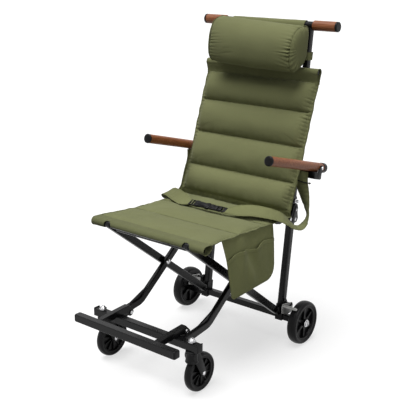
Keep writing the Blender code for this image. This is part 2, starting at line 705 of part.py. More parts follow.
def build_brake(parent, side, way, mats):
    """A plate lever on its own pin, with a bar that presses on the tread."""
    pivot = (BRAKE_PIVOT_Y, BRAKE_PIVOT_Z)
    body = Body(f"brake_{side}_pivot", (way * BRAKE_PLATE_X, *pivot), parent)
    pad = brake_pad_centre()
    x0, x1 = BRAKE_PLATE_X, BRAKE_PLATE_X + BRAKE_PLATE_THICKNESS
    toe = (pad[0] + BRAKE_PAD_RADIUS, pad[1] - HALF_RISE / 6)
    plate = [(pivot[0] + EAR_RADIUS, pivot[1] - EAR_RADIUS), (pivot[0] + EAR_RADIUS, pivot[1] + EAR_RADIUS / 2),
             (pivot[0], pivot[1] + EAR_RADIUS), (pad[0], pad[1] + BRAKE_PAD_RADIUS),
             (pad[0] - BRAKE_PAD_RADIUS, pad[1]), (toe[0] - EAR_RADIUS, toe[1])]
    plate += [toe, (pivot[0] - EAR_RADIUS, pivot[1] - 2 * EAR_RADIUS), (pivot[0], pivot[1] - 2 * EAR_RADIUS)]
    lever = add(body, f"brake_lever_{side}", prism(plate, way * x0, way * x1), mats["bright_steel"], smooth=False)
    reach_x = REAR_WHEEL_X + REAR_TYRE_WIDTH * 0.3
    fuse(body, lever, rod(way * (x0 + BRAKE_PLATE_THICKNESS / 3), way * reach_x, pad, BRAKE_PAD_RADIUS), "pad")
    cut(body, lever, rod(way * (x0 - EAR_RADIUS), way * (x1 + EAR_RADIUS), pivot, PIVOT_RADIUS + GAP), "bore")


def build_brace_frame(body, mats):
    """Both braces, the front seat tube, the bar under it and the scissor bolts."""
    add(body, "front_seat_tube", rod(-FRONT_TUBE_HALF, FRONT_TUBE_HALF, FRONT_TUBE, SEAT_TUBE_RADIUS,
                                     TUBE_FACETS), mats["frame_black"])
    inner = BRACE_X - BRACE_WIDTH / 2 - GAP
    add(body, "seat_cross_bar", rod(-inner, inner, SEAT_BAR, SEAT_BAR_RADIUS, TUBE_FACETS), mats["frame_black"])
    for side, way in SIDES:
        x0, x1 = way * (BRACE_X - BRACE_WIDTH / 2), way * (BRACE_X + BRACE_WIDTH / 2)
        outline = stadium(BRACE_PIVOT, FRONT_TUBE, BRACE_DEPTH / 2)
        brace = add(body, f"brace_{side}", prism(outline, x0, x1), mats["frame_black"])
        soften(brace)
        bores = bmesh.new()
        over = BRACE_WIDTH
        rod(x0 - way * over, x1 + way * over, BRACE_PIVOT, PIVOT_RADIUS + GAP, bm=bores)
        rod(x0 - way * over, x1 + way * over, SCISSOR, PIVOT_RADIUS + GAP, bm=bores)
        rod(x0 - way * over, x1 + way * over, FRONT_TUBE, SEAT_TUBE_RADIUS + GAP, TUBE_FACETS, bores)
        cut(body, brace, bores, "bores")
        add_scissor_bolt(body, side, way, mats)


def add_scissor_bolt(body, side, way, mats):
    inner = LEG_X - LEG_WIDTH / 2 - GAP
    outer = BRACE_X + BRACE_WIDTH / 2 + GAP
    bolt = domed_rod(way * outer, way * inner, SCISSOR, PIVOT_RADIUS, DOME_RADIUS, DOME_HEIGHT)
    item = add(body, f"scissor_bolt_{side}", bolt, mats["bright_steel"])
    nut = rod(way * outer, way * (outer + PIVOT_HEAD_HEIGHT), SCISSOR, PIVOT_HEAD_RADIUS, 6)
    fuse(body, item, nut, "nut")


def leg_path():
    """Side view of a leg, from its tip past the top pivot, round the bend, to the front bar."""
    backward_up = (-FORWARD_UP[0], FORWARD_UP[1])
    tip = (LEG_PIVOT[0] + backward_up[0] * LEG_TIP, LEG_PIVOT[1] + backward_up[1] * LEG_TIP)
    corner = (LEG_BEND_Y, SCISSOR_Z + (LEG_BEND_Y - SCISSOR_Y) * backward_up[1] / backward_up[0])
    front = (FRONT_BAR_Y + FRONT_BAR_SIZE / 2 + GAP, FRONT_BAR_Z)
    into = unit(tip, corner)
    out = unit(corner, front)
    turn = math.acos(into[0] * out[0] + into[1] * out[1])
    back_off = LEG_BEND_RADIUS * math.tan(turn / 2)
    start = (corner[0] - into[0] * back_off, corner[1] - into[1] * back_off)
    end = (corner[0] + out[0] * back_off, corner[1] + out[1] * back_off)
    path = [tip]
    steps = 5
    for k in range(steps + 1):
        t = k / steps
        path.append(tuple((1 - t) ** 2 * a + 2 * t * (1 - t) * b + t ** 2 * c
                          for a, b, c in zip(start, corner, end)))
    path.append((front[0] + LEG_DEPTH / 4, front[1]))
    path.append(front)
    return path, corner, into, out


def build_leg_frame(body, mats):
    """Both bent legs, the front bar with its lugs, the stem bolts and the seat's rear tube."""
    path, corner, into, out = leg_path()
    section = rounded_rectangle(LEG_WIDTH, LEG_DEPTH, LEG_CORNER)
    inner = LEG_X - LEG_WIDTH / 2 - GAP
    add(body, "seat_rear_tube", rod(-inner, inner, LEG_PIVOT, SEAT_TUBE_RADIUS, TUBE_FACETS),
        mats["frame_black"])
    for side, way in SIDES:
        leg = add(body, f"leg_{side}", swept(path, way * LEG_X, section), mats["frame_black"])
        rise = (into[1], -into[0])
        reach = GUSSET_REACH + LEG_BEND_RADIUS / 2
        high = (corner[0] - into[0] * reach, corner[1] - into[1] * reach)
        low = (corner[0] + out[0] * reach, corner[1] + out[1] * reach)
        lift = LEG_DEPTH / 2 * 0.9
        up = (-rise[0], -rise[1]) if rise[1] < 0 else rise
        front_up = (-out[1], out[0]) if out[0] > 0 else (out[1], -out[0])
        gusset = [corner, (high[0] + up[0] * lift, high[1] + up[1] * lift),
                  (low[0] + front_up[0] * lift, low[1] + front_up[1] * lift)]
        half = GUSSET_THICKNESS / 2
        fuse(body, leg, prism(gusset, way * LEG_X - half, way * LEG_X + half), "gusset")
        bores = rod(way * (LEG_X - LEG_WIDTH), way * (LEG_X + LEG_WIDTH), SCISSOR, PIVOT_RADIUS + GAP)
        cut(body, leg, bores, "bore")
        add_stem_bolt(body, side, way, mats)
    add_front_bar(body, mats)


def add_front_bar(body, mats):
    """Square bar with plugged ends, the footrest's lugs and pins, and the stems' bores."""
    centre = (FRONT_BAR_Y, FRONT_BAR_Z)
    square = rounded_rectangle(FRONT_BAR_SIZE, FRONT_BAR_SIZE, TUBE_CORNER / 2)
    bar = add(body, "front_cross_bar", bar_across(-FRONT_BAR_HALF, FRONT_BAR_HALF, centre, square),
              mats["frame_black"])
    hinge = (FOOT_HINGE_Y, FOOT_HINGE_Z)
    half = FOOT_ARM_WIDTH / 2
    clear = half - FOOT_ARM_WALL - GAP
    lugs = bmesh.new()
    pins = bmesh.new()
    stems = bmesh.new()
    for side, way in SIDES:
        lug = tapered((FRONT_BAR_Y + FRONT_BAR_SIZE / 4, FRONT_BAR_Z), FRONT_BAR_SIZE / 3,
                      hinge, PIVOT_HEAD_RADIUS)
        prism(lug, way * (FOOT_ARM_X - clear), way * (FOOT_ARM_X + clear), lugs)
        outer = half + GAP
        profile = [(-outer - PIVOT_HEAD_HEIGHT, 0), (-outer - PIVOT_HEAD_HEIGHT, PIVOT_HEAD_RADIUS * 0.6),
                   (-outer, PIVOT_HEAD_RADIUS * 0.9), (-outer, PIVOT_RADIUS), (outer, PIVOT_RADIUS),
                   (outer, PIVOT_HEAD_RADIUS * 0.9), (outer + PIVOT_HEAD_HEIGHT, PIVOT_HEAD_RADIUS * 0.6),
                   (outer + PIVOT_HEAD_HEIGHT, 0)]
        turned([(way * FOOT_ARM_X + x, r) for x, r in profile], hinge, BOLT_FACETS, pins)
        upright_rod((way * CASTER_X, FRONT_BAR_Y), FRONT_BAR_Z - FRONT_BAR_SIZE,
                    FRONT_BAR_Z + FRONT_BAR_SIZE, STEM_RADIUS + GAP, bm=stems)
    fuse(body, bar, lugs, "lugs")
    fuse(body, bar, pins, "pins")
    cut(body, bar, stems, "stems")


def add_stem_bolt(body, side, way, mats):
    """Domed bolt through the front bar into the caster's housing."""
    top = FRONT_BAR_Z + FRONT_BAR_SIZE / 2 + GAP
    foot = FRONT_BAR_Z - FRONT_BAR_SIZE / 2 - STEM_DEPTH
    profile = [(foot, 0), (foot, STEM_RADIUS), (top, STEM_RADIUS), (top, STEM_HEAD_RADIUS),
               (top + STEM_HEAD_HEIGHT * 0.35, STEM_HEAD_RADIUS)]
    for degrees in (30, 60, 80):
        angle = math.radians(degrees)
        profile.append((top + STEM_HEAD_HEIGHT * (0.35 + 0.65 * math.sin(angle)),
                        STEM_HEAD_RADIUS * math.cos(angle)))
    profile.append((top + STEM_HEAD_HEIGHT, 0))
    bolt = upright_rod((way * CASTER_X, FRONT_BAR_Y), 0, 0, profile)
    add(body, f"stem_bolt_{side}", bolt, mats["bright_steel"])


def build_caster(parent, side, way, mats):
    """Swivel fork with its axle bolt, and the wheel that turns in it."""
    x = way * CASTER_X
    top = FRONT_BAR_Z - FRONT_BAR_SIZE / 2 - GAP
    foot = top - CASTER_HOUSING_LENGTH
    swivel = Body(f"caster_{side}_swivel", (x, FRONT_BAR_Y, top), parent)
    housing = [(foot, 0), (foot, CASTER_HOUSING_RADIUS), (top - CASTER_PLATE, CASTER_HOUSING_RADIUS),
               (top - CASTER_PLATE, CASTER_HOUSING_RADIUS * 0.92), (top, CASTER_HOUSING_RADIUS * 0.88), (top, 0)]
    fork = add(swivel, f"caster_fork_{side}", upright_rod((x, FRONT_BAR_Y), 0, 0, housing, TUBE_FACETS),
               mats["moulded_black"])
    wheel_half = CASTER_TYRE_WIDTH / 2 + CASTER_PLATE_GAP
    shoulder = (FRONT_BAR_Y + CASTER_HOUSING_RADIUS * 0.2, top - CASTER_HOUSING_RADIUS * 0.86)
    plate = tapered(shoulder, CASTER_HOUSING_RADIUS * 0.84, CASTER_AXLE, PIVOT_HEAD_RADIUS * 1.8)
    plates = bmesh.new()
    for edge in (-1, 1):
        prism(plate, x + edge * (wheel_half - GAP), x + edge * (wheel_half + CASTER_PLATE), plates)
    fuse(swivel, fork, plates, "plates")
    room = CASTER_RADIUS + CASTER_PLATE_GAP
    cut(swivel, fork, rod(x - wheel_half, x + wheel_half, CASTER_AXLE, room, TUBE_FACETS), "wheel_room")
    outer = wheel_half + CASTER_PLATE
    bolt = [(-outer - PIVOT_HEAD_HEIGHT, 0), (-outer - PIVOT_HEAD_HEIGHT, PIVOT_HEAD_RADIUS * 0.6),
            (-outer, PIVOT_HEAD_RADIUS), (-outer, PIVOT_RADIUS), (outer, PIVOT_RADIUS),
            (outer, PIVOT_HEAD_RADIUS), (outer + PIVOT_HEAD_HEIGHT, PIVOT_HEAD_RADIUS * 0.6),
            (outer + PIVOT_HEAD_HEIGHT, 0)]
    cut(swivel, fork, upright_rod((x, FRONT_BAR_Y), foot + GAP, top + STEM_DEPTH, STEM_RADIUS + GAP), "stem")
    fuse(swivel, fork, turned([(x + dx, r) for dx, r in bolt], CASTER_AXLE, BOLT_FACETS), "axle")
    wheel = Body(f"caster_wheel_{side}_spin", (x, *CASTER_AXLE), swivel)
    tyre = tyre_profile(x, CASTER_RADIUS, CASTER_TYRE_WIDTH, CASTER_TYRE_DEPTH)
    add(wheel, f"caster_tyre_{side}", turned(tyre, CASTER_AXLE, WHEEL_FACETS, closed=True), mats["tyre_black"])
    wheel_hub(wheel, f"caster_hub_{side}", x, CASTER_AXLE, CASTER_RADIUS - CASTER_TYRE_DEPTH - GAP,
              CASTER_TYRE_WIDTH * 0.8, 2 * (wheel_half - GAP), PIVOT_RADIUS + GAP, mats["moulded_black"])


def build_footrest(body, mats):
    """Square bar carried by two channel arms that rest on the front bar."""
    square = rounded_rectangle(FOOT_BAR_SIZE, FOOT_BAR_SIZE, TUBE_CORNER / 2)
    bar = add(body, "footrest_bar", bar_across(-FOOT_BAR_HALF, FOOT_BAR_HALF, (FOOT_BAR_Y, FOOT_BAR_Z), square),
              mats["frame_black"])
    soften(bar, TUBE_CORNER / 2)
    hinge = (FOOT_HINGE_Y, FOOT_HINGE_Z)
    front_y = FOOT_BAR_Y + FOOT_BAR_SIZE / 2 + GAP
    rest_z = FRONT_BAR_Z + FRONT_BAR_SIZE / 2 + GAP
    rest_y = (FRONT_BAR_Y - FRONT_BAR_SIZE / 2 - GAP, FRONT_BAR_Y + FRONT_BAR_SIZE / 2 + GAP)
    low_z = FOOT_BAR_Z - FOOT_BAR_SIZE / 4
    crown_z = rest_z + FOOT_ARM_CROWN
    outline = [(front_y, low_z), (rest_y[0] - FOOT_ARM_ROUND, low_z), (rest_y[0], rest_z), (rest_y[1], rest_z),
               (hinge[0] - FOOT_ARM_ROUND * 1.2, hinge[1] - FOOT_ARM_ROUND * 0.2)]
    outline += arc(hinge, FOOT_ARM_ROUND, 235, 390, 8)
    outline += [(hinge[0] - FOOT_ARM_ROUND * 0.6, crown_z), (rest_y[0], crown_z - FOOT_ARM_ROUND * 0.2),
                (front_y, FOOT_BAR_Z + FOOT_BAR_SIZE / 2)]
    half = FOOT_ARM_WIDTH / 2
    for side, way in SIDES:
        x = way * FOOT_ARM_X
        arm = add(body, f"footrest_arm_{side}", prism(outline, x - half, x + half), mats["frame_black"],
                  smooth=False)
        soften(arm, EDGE_ROUND / 2, 1, 60)
        channel = [(y, z - FOOT_ARM_WALL) for y, z in outline[-3:-1]]
        channel = ([(hinge[0] + FOOT_ARM_ROUND * 2, hinge[1] - FOOT_ARM_ROUND * 2),
                    (hinge[0] + FOOT_ARM_ROUND * 2, hinge[1] + FOOT_ARM_ROUND * 0.6)] + channel
                   + [(front_y + FOOT_ARM_ROUND, FOOT_BAR_Z + FOOT_BAR_SIZE / 2 - FOOT_ARM_WALL),
                      (front_y + FOOT_ARM_ROUND, hinge[1] - FOOT_ARM_ROUND * 2)])
        cut(body, arm, prism(channel, x - half + FOOT_ARM_WALL, x + half - FOOT_ARM_WALL), "channel")
        cut(body, arm, rod(x - FOOT_ARM_WIDTH, x + FOOT_ARM_WIDTH, hinge, PIVOT_RADIUS + GAP), "bore")


def build_carriage(body, mats):
    """Masts that slide in the uprights, each with the knuckle of the folding back."""
    size = UPRIGHT_SIZE - 2 * UPRIGHT_WALL - 2 * GAP
    section = rounded_rectangle(size, size, TUBE_CORNER - UPRIGHT_WALL)
    base = UPRIGHT_TOP_Z + GAP
    path = [(line_y(MAST_FOOT_Z), MAST_FOOT_Z), (line_y(base + size), base + size)]
    shoulder = KNUCKLE[1] - KNUCKLE_RADIUS - GAP
    for side, way in SIDES:
        mast = add(body, f"mast_{side}", swept(path, way * UPRIGHT_X, section), mats["frame_black"])
        half = KNUCKLE_DEPTH / 2
        collar = [leaned(-half * 0.8, base), leaned(half * 0.8, base), leaned(half, shoulder),
                  leaned(-half, shoulder)]
        wide = UPRIGHT_SIZE / 2
        fuse(body, mast, prism(collar, way * (UPRIGHT_X - wide), way * (UPRIGHT_X + wide)), "collar")
        tongue = stadium((line_y(shoulder), shoulder), KNUCKLE, KNUCKLE_RADIUS)
        fuse(body, mast, prism(tongue, way * UPRIGHT_X - TONGUE_WIDTH / 2, way * UPRIGHT_X + TONGUE_WIDTH / 2),
             "tongue")
        fork_half = POST_SIZE / 2 + GAP
        pin = [(-fork_half - PIVOT_HEAD_HEIGHT, 0), (-fork_half - PIVOT_HEAD_HEIGHT, PIVOT_HEAD_RADIUS * 0.6),
               (-fork_half, PIVOT_HEAD_RADIUS), (-fork_half, PIVOT_RADIUS), (fork_half, PIVOT_RADIUS),
               (fork_half, PIVOT_HEAD_RADIUS), (fork_half + PIVOT_HEAD_HEIGHT, PIVOT_HEAD_RADIUS * 0.6),
               (fork_half + PIVOT_HEAD_HEIGHT, 0)]
        fuse(body, mast, turned([(way * UPRIGHT_X + x, r) for x, r in pin], KNUCKLE, BOLT_FACETS), "pin")
        add_ear(body, mast, way, base)


def add_ear(body, mast, way, base):
    """Plate from the knuckle forward to the leg's top pivot, beside the leg."""
    inner = LEG_X + LEG_WIDTH / 2 + 2 * GAP
    half = KNUCKLE_DEPTH / 2
    outline = arc(LEG_PIVOT, EAR_RADIUS, 60, 200, 6)
    outline += [(LEG_PIVOT[0] - EAR_RADIUS, LEG_PIVOT[1] - EAR_DROP),
                (LEG_PIVOT[0] + EAR_RADIUS, LEG_PIVOT[1] - EAR_DROP - EAR_RADIUS / 2),
                leaned(-half, base), leaned(half / 2, base + EAR_RADIUS / 4),
                leaned(half / 2, base + EAR_RADIUS * 1.5), leaned(-half / 2, base + EAR_RADIUS * 1.8)]
    fuse(body, mast, prism(outline, way * inner, way * (inner + EAR_THICKNESS)), "ear")
    stub = domed_rod(way * (inner + EAR_THICKNESS / 2), way * (inner + EAR_THICKNESS), LEG_PIVOT,
                     PIVOT_RADIUS, PIVOT_HEAD_RADIUS, PIVOT_HEAD_HEIGHT)
    fuse(body, mast, stub, "stub")


def build_back_frame(body, mats):
    """Posts with their forks, the top bar, its grips and the sleeve bar."""
    fork_top = KNUCKLE[1] + KNUCKLE_RADIUS + GAP
    section = rounded_rectangle(POST_SIZE, POST_SIZE, TUBE_CORNER)
    path = [(line_y(fork_top), fork_top), (line_y(TOP_BAR_Z), TOP_BAR_Z)]
    cheek = stadium(KNUCKLE, (line_y(fork_top + FORK_BRIDGE), fork_top + FORK_BRIDGE), KNUCKLE_RADIUS * 0.95)
    for side, way in SIDES:
        x = way * UPRIGHT_X
        post = add(body, f"post_{side}", swept(path, x, section), mats["frame_black"])
        cheeks = bmesh.new()
        inner, outer = TONGUE_WIDTH / 2 + GAP, POST_SIZE / 2
        prism(cheek, x + inner, x + outer, cheeks)
        prism(cheek, x - outer, x - inner, cheeks)
        fuse(body, post, cheeks, "cheeks")
        holes = rod(x - POST_SIZE, x + POST_SIZE, KNUCKLE, PIVOT_RADIUS + GAP)
        cut(body, post, holes, "pivot_bore")
        latch = (line_y(LATCH_Z), LATCH_Z)
        depth = x + way * (POST_SIZE / 2 - LATCH_DEPTH - GAP)
        cut(body, post, rod(depth, x + way * POST_SIZE, latch, LATCH_RADIUS + GAP), "latch_bore")
        cut(body, post, rod(x - POST_SIZE, x + POST_SIZE, TOP_BAR, TOP_BAR_RADIUS + GAP, TUBE_FACETS), "saddle")
        add_grip(body, side, way, mats)
        add_arm_bracket(body, side, way, mats)
    add_top_bar(body, mats)
    add(body, "sleeve_bar", rod(-SLEEVE_BAR_HALF, SLEEVE_BAR_HALF, SLEEVE_BAR, SLEEVE_BAR_RADIUS, TUBE_FACETS),
        mats["frame_black"])


def add_top_bar(body, mats):
    """One turned bar: end caps, thin cores under the grips and the black middle."""
    cap = TOP_BAR_HALF - GRIP_CAP
    half = [(GRIP_START_X - GAP, TOP_BAR_RADIUS), (GRIP_START_X - GAP, GRIP_CORE_RADIUS),
            (cap, GRIP_CORE_RADIUS), (cap, GRIP_RADIUS), (TOP_BAR_HALF - GRIP_CAP / 4, GRIP_RADIUS),
            (TOP_BAR_HALF, GRIP_RADIUS * 0.86), (TOP_BAR_HALF, 0)]
    profile = [(-x, r) for x, r in reversed(half)] + half
    add(body, "top_bar", turned(profile, TOP_BAR, TUBE_FACETS), mats["moulded_black"])


def add_grip(body, side, way, mats):
    start, end = GRIP_START_X, TOP_BAR_HALF - GRIP_CAP - GAP
    bore = GRIP_CORE_RADIUS + GAP
    edge = GRIP_RADIUS * 0.1
    profile = [(start, bore), (start, GRIP_RADIUS - edge), (start + edge, GRIP_RADIUS), (end - edge, GRIP_RADIUS),
               (end, GRIP_RADIUS - edge), (end, bore)]
    profile = [(way * x, r) for x, r in profile]
    add(body, f"grip_{side}", turned(profile, TOP_BAR, TUBE_FACETS, closed=True), mats["wood_brown"])


def arm_z(y, below=0.0):
    """Height of the armrest's axis at y, or of a line the given distance under it."""
    return ARM_FRONT[1] + (y - ARM_FRONT[0]) * ARM_SLOPE - below * math.hypot(1, ARM_SLOPE)


def add_arm_bracket(body, side, way, mats):
    """Flange on the post, shelf under the armrest, and an outer tab with the armrest's pin."""
    post_face = UPRIGHT_X + POST_SIZE / 2 + GAP
    tab_x = ARM_X + ARM_RADIUS + GAP
    top = ARM_RADIUS + GAP
    low = top + ARM_SHELF_THICKNESS
    front, rear = ARM_SHELF_FRONT_Y, ARM_SHELF_REAR_Y
    shelf = [(front, arm_z(front, low * 0.9)), (rear, arm_z(rear, low)), (rear, arm_z(rear, top)),
             (front, arm_z(front, top))]
    bracket = add(body, f"arm_bracket_{side}", prism(shelf, way * post_face, way * (tab_x + ARM_TAB_THICKNESS)),
                  mats["moulded_black"], smooth=False)
    post_rear = line_y(arm_z(rear, low)) + POST_SIZE / 2
    flange = [(front, arm_z(front, low * 0.9)), (rear, arm_z(rear, low)), (post_rear, arm_z(rear, low)),
              (post_rear, arm_z(rear, top)), (front, arm_z(front, top))]
    fuse(body, bracket, prism(flange, way * post_face, way * (post_face + ARM_FLANGE_WIDTH)), "flange")
    tab = tapered((rear, arm_z(rear, (top + low) / 2)), ARM_SHELF_THICKNESS / 2, ARM_PIVOT, ARM_TAB_RADIUS)
    fuse(body, bracket, prism(tab, way * tab_x, way * (tab_x + ARM_TAB_THICKNESS)), "tab")
    pin = domed_rod(way * ARM_PIN_END_X, way * (tab_x + ARM_TAB_THICKNESS), ARM_PIVOT,
                    PIVOT_RADIUS, PIVOT_HEAD_RADIUS, PIVOT_HEAD_HEIGHT)
    fuse(body, bracket, pin, "pin")


def build_armrest(parent, side, way, mats):
    """Wood sleeve on a core with two caps, hinged on the bracket's pin."""
    body = Body(f"armrest_{side}_pivot", (way * ARM_X, *ARM_PIVOT), parent)
    length = math.hypot(ARM_REAR[0] - ARM_FRONT[0], ARM_REAR[1] - ARM_FRONT[1])
    edge = ARM_CAP / 4
    core = [(0, 0), (0, ARM_RADIUS * 0.88), (edge, ARM_RADIUS), (ARM_CAP, ARM_RADIUS),
            (ARM_CAP, ARM_CORE_RADIUS), (length - ARM_CAP, ARM_CORE_RADIUS), (length - ARM_CAP, ARM_RADIUS),
            (length - edge, ARM_RADIUS), (length, ARM_RADIUS * 0.88), (length, 0)]
    wood = [(ARM_CAP + GAP, ARM_CORE_RADIUS + GAP), (ARM_CAP + GAP, ARM_RADIUS), (length - ARM_CAP - GAP, ARM_RADIUS),
            (length - ARM_CAP - GAP, ARM_CORE_RADIUS + GAP)]
    bore_end = ARM_PIN_END_X - GAP
    bore_far = ARM_X + ARM_RADIUS * 2
    pieces = (("core", core, False, "moulded_black"), ("wood", wood, True, "wood_brown"))
    for label, profile, closed, material in pieces:
        bm = turned(profile, (0, 0), TUBE_FACETS, closed=closed)
        for vert in bm.verts:
            along, across, up = vert.co
            vert.co = arm_frame(way, along, across, up, length)
        item = add(body, f"armrest_{label}_{side}", bm, mats[material])
        cut(body, item, rod(way * bore_end, way * bore_far, ARM_PIVOT, PIVOT_RADIUS + GAP), "bore")


def arm_frame(way, along, across, up, length):
    """Chair coordinates of a point on the armrest: along its axis, across it and above it."""
    t = along / length
    y = ARM_FRONT[0] + (ARM_REAR[0] - ARM_FRONT[0]) * t
    z = ARM_FRONT[1] + (ARM_REAR[1] - ARM_FRONT[1]) * t
    heading = unit(ARM_FRONT, ARM_REAR)
    return Vector((way * ARM_X + across, y - heading[1] * up, z + heading[0] * up))


def build_latch(parent, side, way, mats):
    """Sprung pull pin in the foot of a post."""
    centre = (line_y(LATCH_Z), LATCH_Z)
    face = UPRIGHT_X + POST_SIZE / 2
    body = Body(f"latch_{side}_slide", (way * face, *centre), parent)
    knob = face + KNOB_STANDOFF
    profile = [(face - LATCH_DEPTH, 0), (face - LATCH_DEPTH, LATCH_RADIUS), (knob, LATCH_RADIUS),
               (knob, KNOB_RADIUS), (knob + KNOB_LENGTH * 0.8, KNOB_RADIUS),
               (knob + KNOB_LENGTH, KNOB_RADIUS * 0.6), (knob + KNOB_LENGTH, 0)]
    add(body, f"latch_pin_{side}", turned([(way * x, r) for x, r in profile], centre, BOLT_FACETS),
        mats["bright_steel"])


def cover_path():
    """Side view of the back cover: hemmed sleeve over its bar, then seam to seam down the back."""
    sleeve = SLEEVE_BAR_RADIUS + CLOTH_EASE + CLOTH / 2
    seam = COVER_SEAMS[0]
    points = [(seam[0] + CLOTH * 1.6, seam[1] + CLOTH)]
    points += arc(SLEEVE_BAR, sleeve, 0, 180, 8)
    puffs = [0.0] * len(points)
    puffs.append(0.0)
    points.append(seam)
    for first, second in zip(COVER_SEAMS, COVER_SEAMS[1:]):
        for t in CHANNEL_SHARES:
            points.append((first[0] + (second[0] - first[0]) * t, first[1] + (second[1] - first[1]) * t))
            puffs.append(math.sin(math.pi * t) ** 0.6 if t < 1 else 0.0)
    return points, puffs


def cover_fullness(x):
    """How far a channel is puffed at x: full in the middle, nothing on the edge band."""
    inside = COVER_HALF_WIDTH - COVER_EDGE_BAND - abs(x)
    return max(0.0, min(1.0, inside / (COVER_EDGE_BAND * 1.5))) ** 0.5


def add_back_cover(body, mats):
    points, puffs = cover_path()
    columns = even_columns(COVER_HALF_WIDTH - COVER_EDGE_BAND, COVER_COLUMNS)
    rim = COVER_HALF_WIDTH - COVER_EDGE_BAND * 1.6
    columns = sorted([-COVER_HALF_WIDTH, COVER_HALF_WIDTH, -rim, rim] + columns)
    half = CLOTH / 2

    def rear_of(i):
        return lambda x: half + COVER_BACK_PUFF * puffs[i] * cover_fullness(x)

    def front_of(i):
        return lambda x: half + COVER_FRONT_PUFF * puffs[i] * cover_fullness(x)

    rows = path_rows(points, rear_of, front_of)
    cover = add(body, "back_cover", sheet(rows, columns), mats["canvas_olive"])
    gaps = bmesh.new()
    wide = POST_SIZE / 2 + CLOTH
    behind = SLEEVE_BAR[0]
    notch = box_outline((behind, COVER_SEAMS[0][1] - CLOTH), (behind + POST_SIZE * 2, SLEEVE_BAR_Z + POST_SIZE))
    for side, way in SIDES:
        prism(notch, way * UPRIGHT_X - wide, way * UPRIGHT_X + wide, gaps)
    cut(body, cover, gaps, "post_notches")


def add_pillow(body, mats):
    """Stuffed bolster against the posts: full front, flat back, drawn-in ends."""
    lean = (math.sin(LEAN), math.cos(LEAN))
    back = POST_SIZE / 2 + GAP
    stations = (-1, -0.985, -0.95, -0.88, -0.75, -0.4, 0, 0.4, 0.75, 0.88, 0.95, 0.985, 1)
    steps = 20
    bm = bmesh.new()
    rings = []
    for station in stations:
        pull = (1 - abs(station) ** 8) ** 0.5 if abs(station) < 1 else 0.0
        height = PILLOW_HALF_HEIGHT * (0.72 + 0.28 * pull)
        depth = PILLOW_DEPTH * (0.45 + 0.55 * pull)
        ring = []
        for k in range(steps):
            angle = 2 * math.pi * k / steps
            along = height * math.sin(angle)
            forward = math.cos(angle)
            bulge = depth / 2 + PILLOW_DEPTH * 0.02 if forward > 0 else depth / 2
            out = back + depth / 2 + bulge * math.copysign(abs(forward) ** 0.85, forward)
            out += PILLOW_FOOT_STEP * max(0.0, -math.sin(angle)) ** 2 if forward < 0 else 0.0
            centre_y = line_y(PILLOW_Z)
            y = centre_y + lean[0] * along - lean[1] * out
            z = PILLOW_Z + lean[1] * along + lean[0] * out
            ring.append(bm.verts.new((PILLOW_HALF_WIDTH * station, y, z)))
        rings.append(ring)
    for first, second in zip(rings, rings[1:]):
        join_rings(bm, first, second)
    bm.faces.new(rings[0])
    bm.faces.new(rings[-1])
    add(body, "head_pillow", bm, mats["canvas_olive"])


def seat_path():
    """Side view of the seat: hem round the front tube, panel, hem round the rear tube."""
    hem = SEAT_TUBE_RADIUS + CLOTH_EASE + CLOTH / 2
    slope = math.degrees(math.atan2(LEG_PIVOT[1] - FRONT_TUBE[1], LEG_PIVOT[0] - FRONT_TUBE[0]))
    front = arc(FRONT_TUBE, hem, slope + 300, slope + 90, 9)
    rear = arc(LEG_PIVOT, hem, slope + 90, slope - 110, 8)
    points = list(front)
    pads = [0.0] * len(front)
    span = rear[0][0] - front[-1][0]
    stops = [front[-1][0]] + list(SEAT_SEAM_YS) + [rear[0][0]]
    for low, high in zip(stops, stops[1:]):
        for part in SEAT_SHARES:
            t = (low + (high - low) * part - front[-1][0]) / span
            if t > 1 - part / 100:
                continue
            sag = SEAT_SAG * math.sin(math.pi * t)
            points.append((front[-1][0] + span * t, front[-1][1] + (rear[0][1] - front[-1][1]) * t - sag))
            pads.append(math.sin(math.pi * part) ** 0.6 if part < 1 else 0.0)
    points += rear
    pads += [0.0] * len(rear)
    return points, pads


def seat_edge_z(y):
    """Height of the seat's panel line at y."""
    points, pads = seat_path()
    heights = [points[-1][1]]
    for first, second in zip(points, points[1:]):
        if first[0] <= y < second[0]:
            heights.append(first[1] + (second[1] - first[1]) * (y - first[0]) / (second[0] - first[0]))
    return heights[-1] if len(heights) == 2 else max(heights)


def seat_fullness(x):
    inside = SEAT_HALF_WIDTH - abs(x)
    return max(0.0, min(1.0, inside / (SEAT_HALF_WIDTH * 0.2))) ** 0.5


def add_seat(body, mats):
    points, pads = seat_path()
    edge = SEAT_HALF_WIDTH * 0.965
    columns = sorted(even_columns(SEAT_HALF_WIDTH, SEAT_COLUMNS) + [-edge, edge])
    half = CLOTH / 2

    def front_of(i):
        return lambda x: half + SEAT_PAD_ABOVE * pads[i] * seat_fullness(x)

    def back_of(i):
        return lambda x: half + SEAT_PAD_BELOW * pads[i] * seat_fullness(x)

    seat = add(body, "seat", sheet(path_rows(points, front_of, back_of), columns), mats["canvas_olive"])
    add_seat_notches(body, seat)


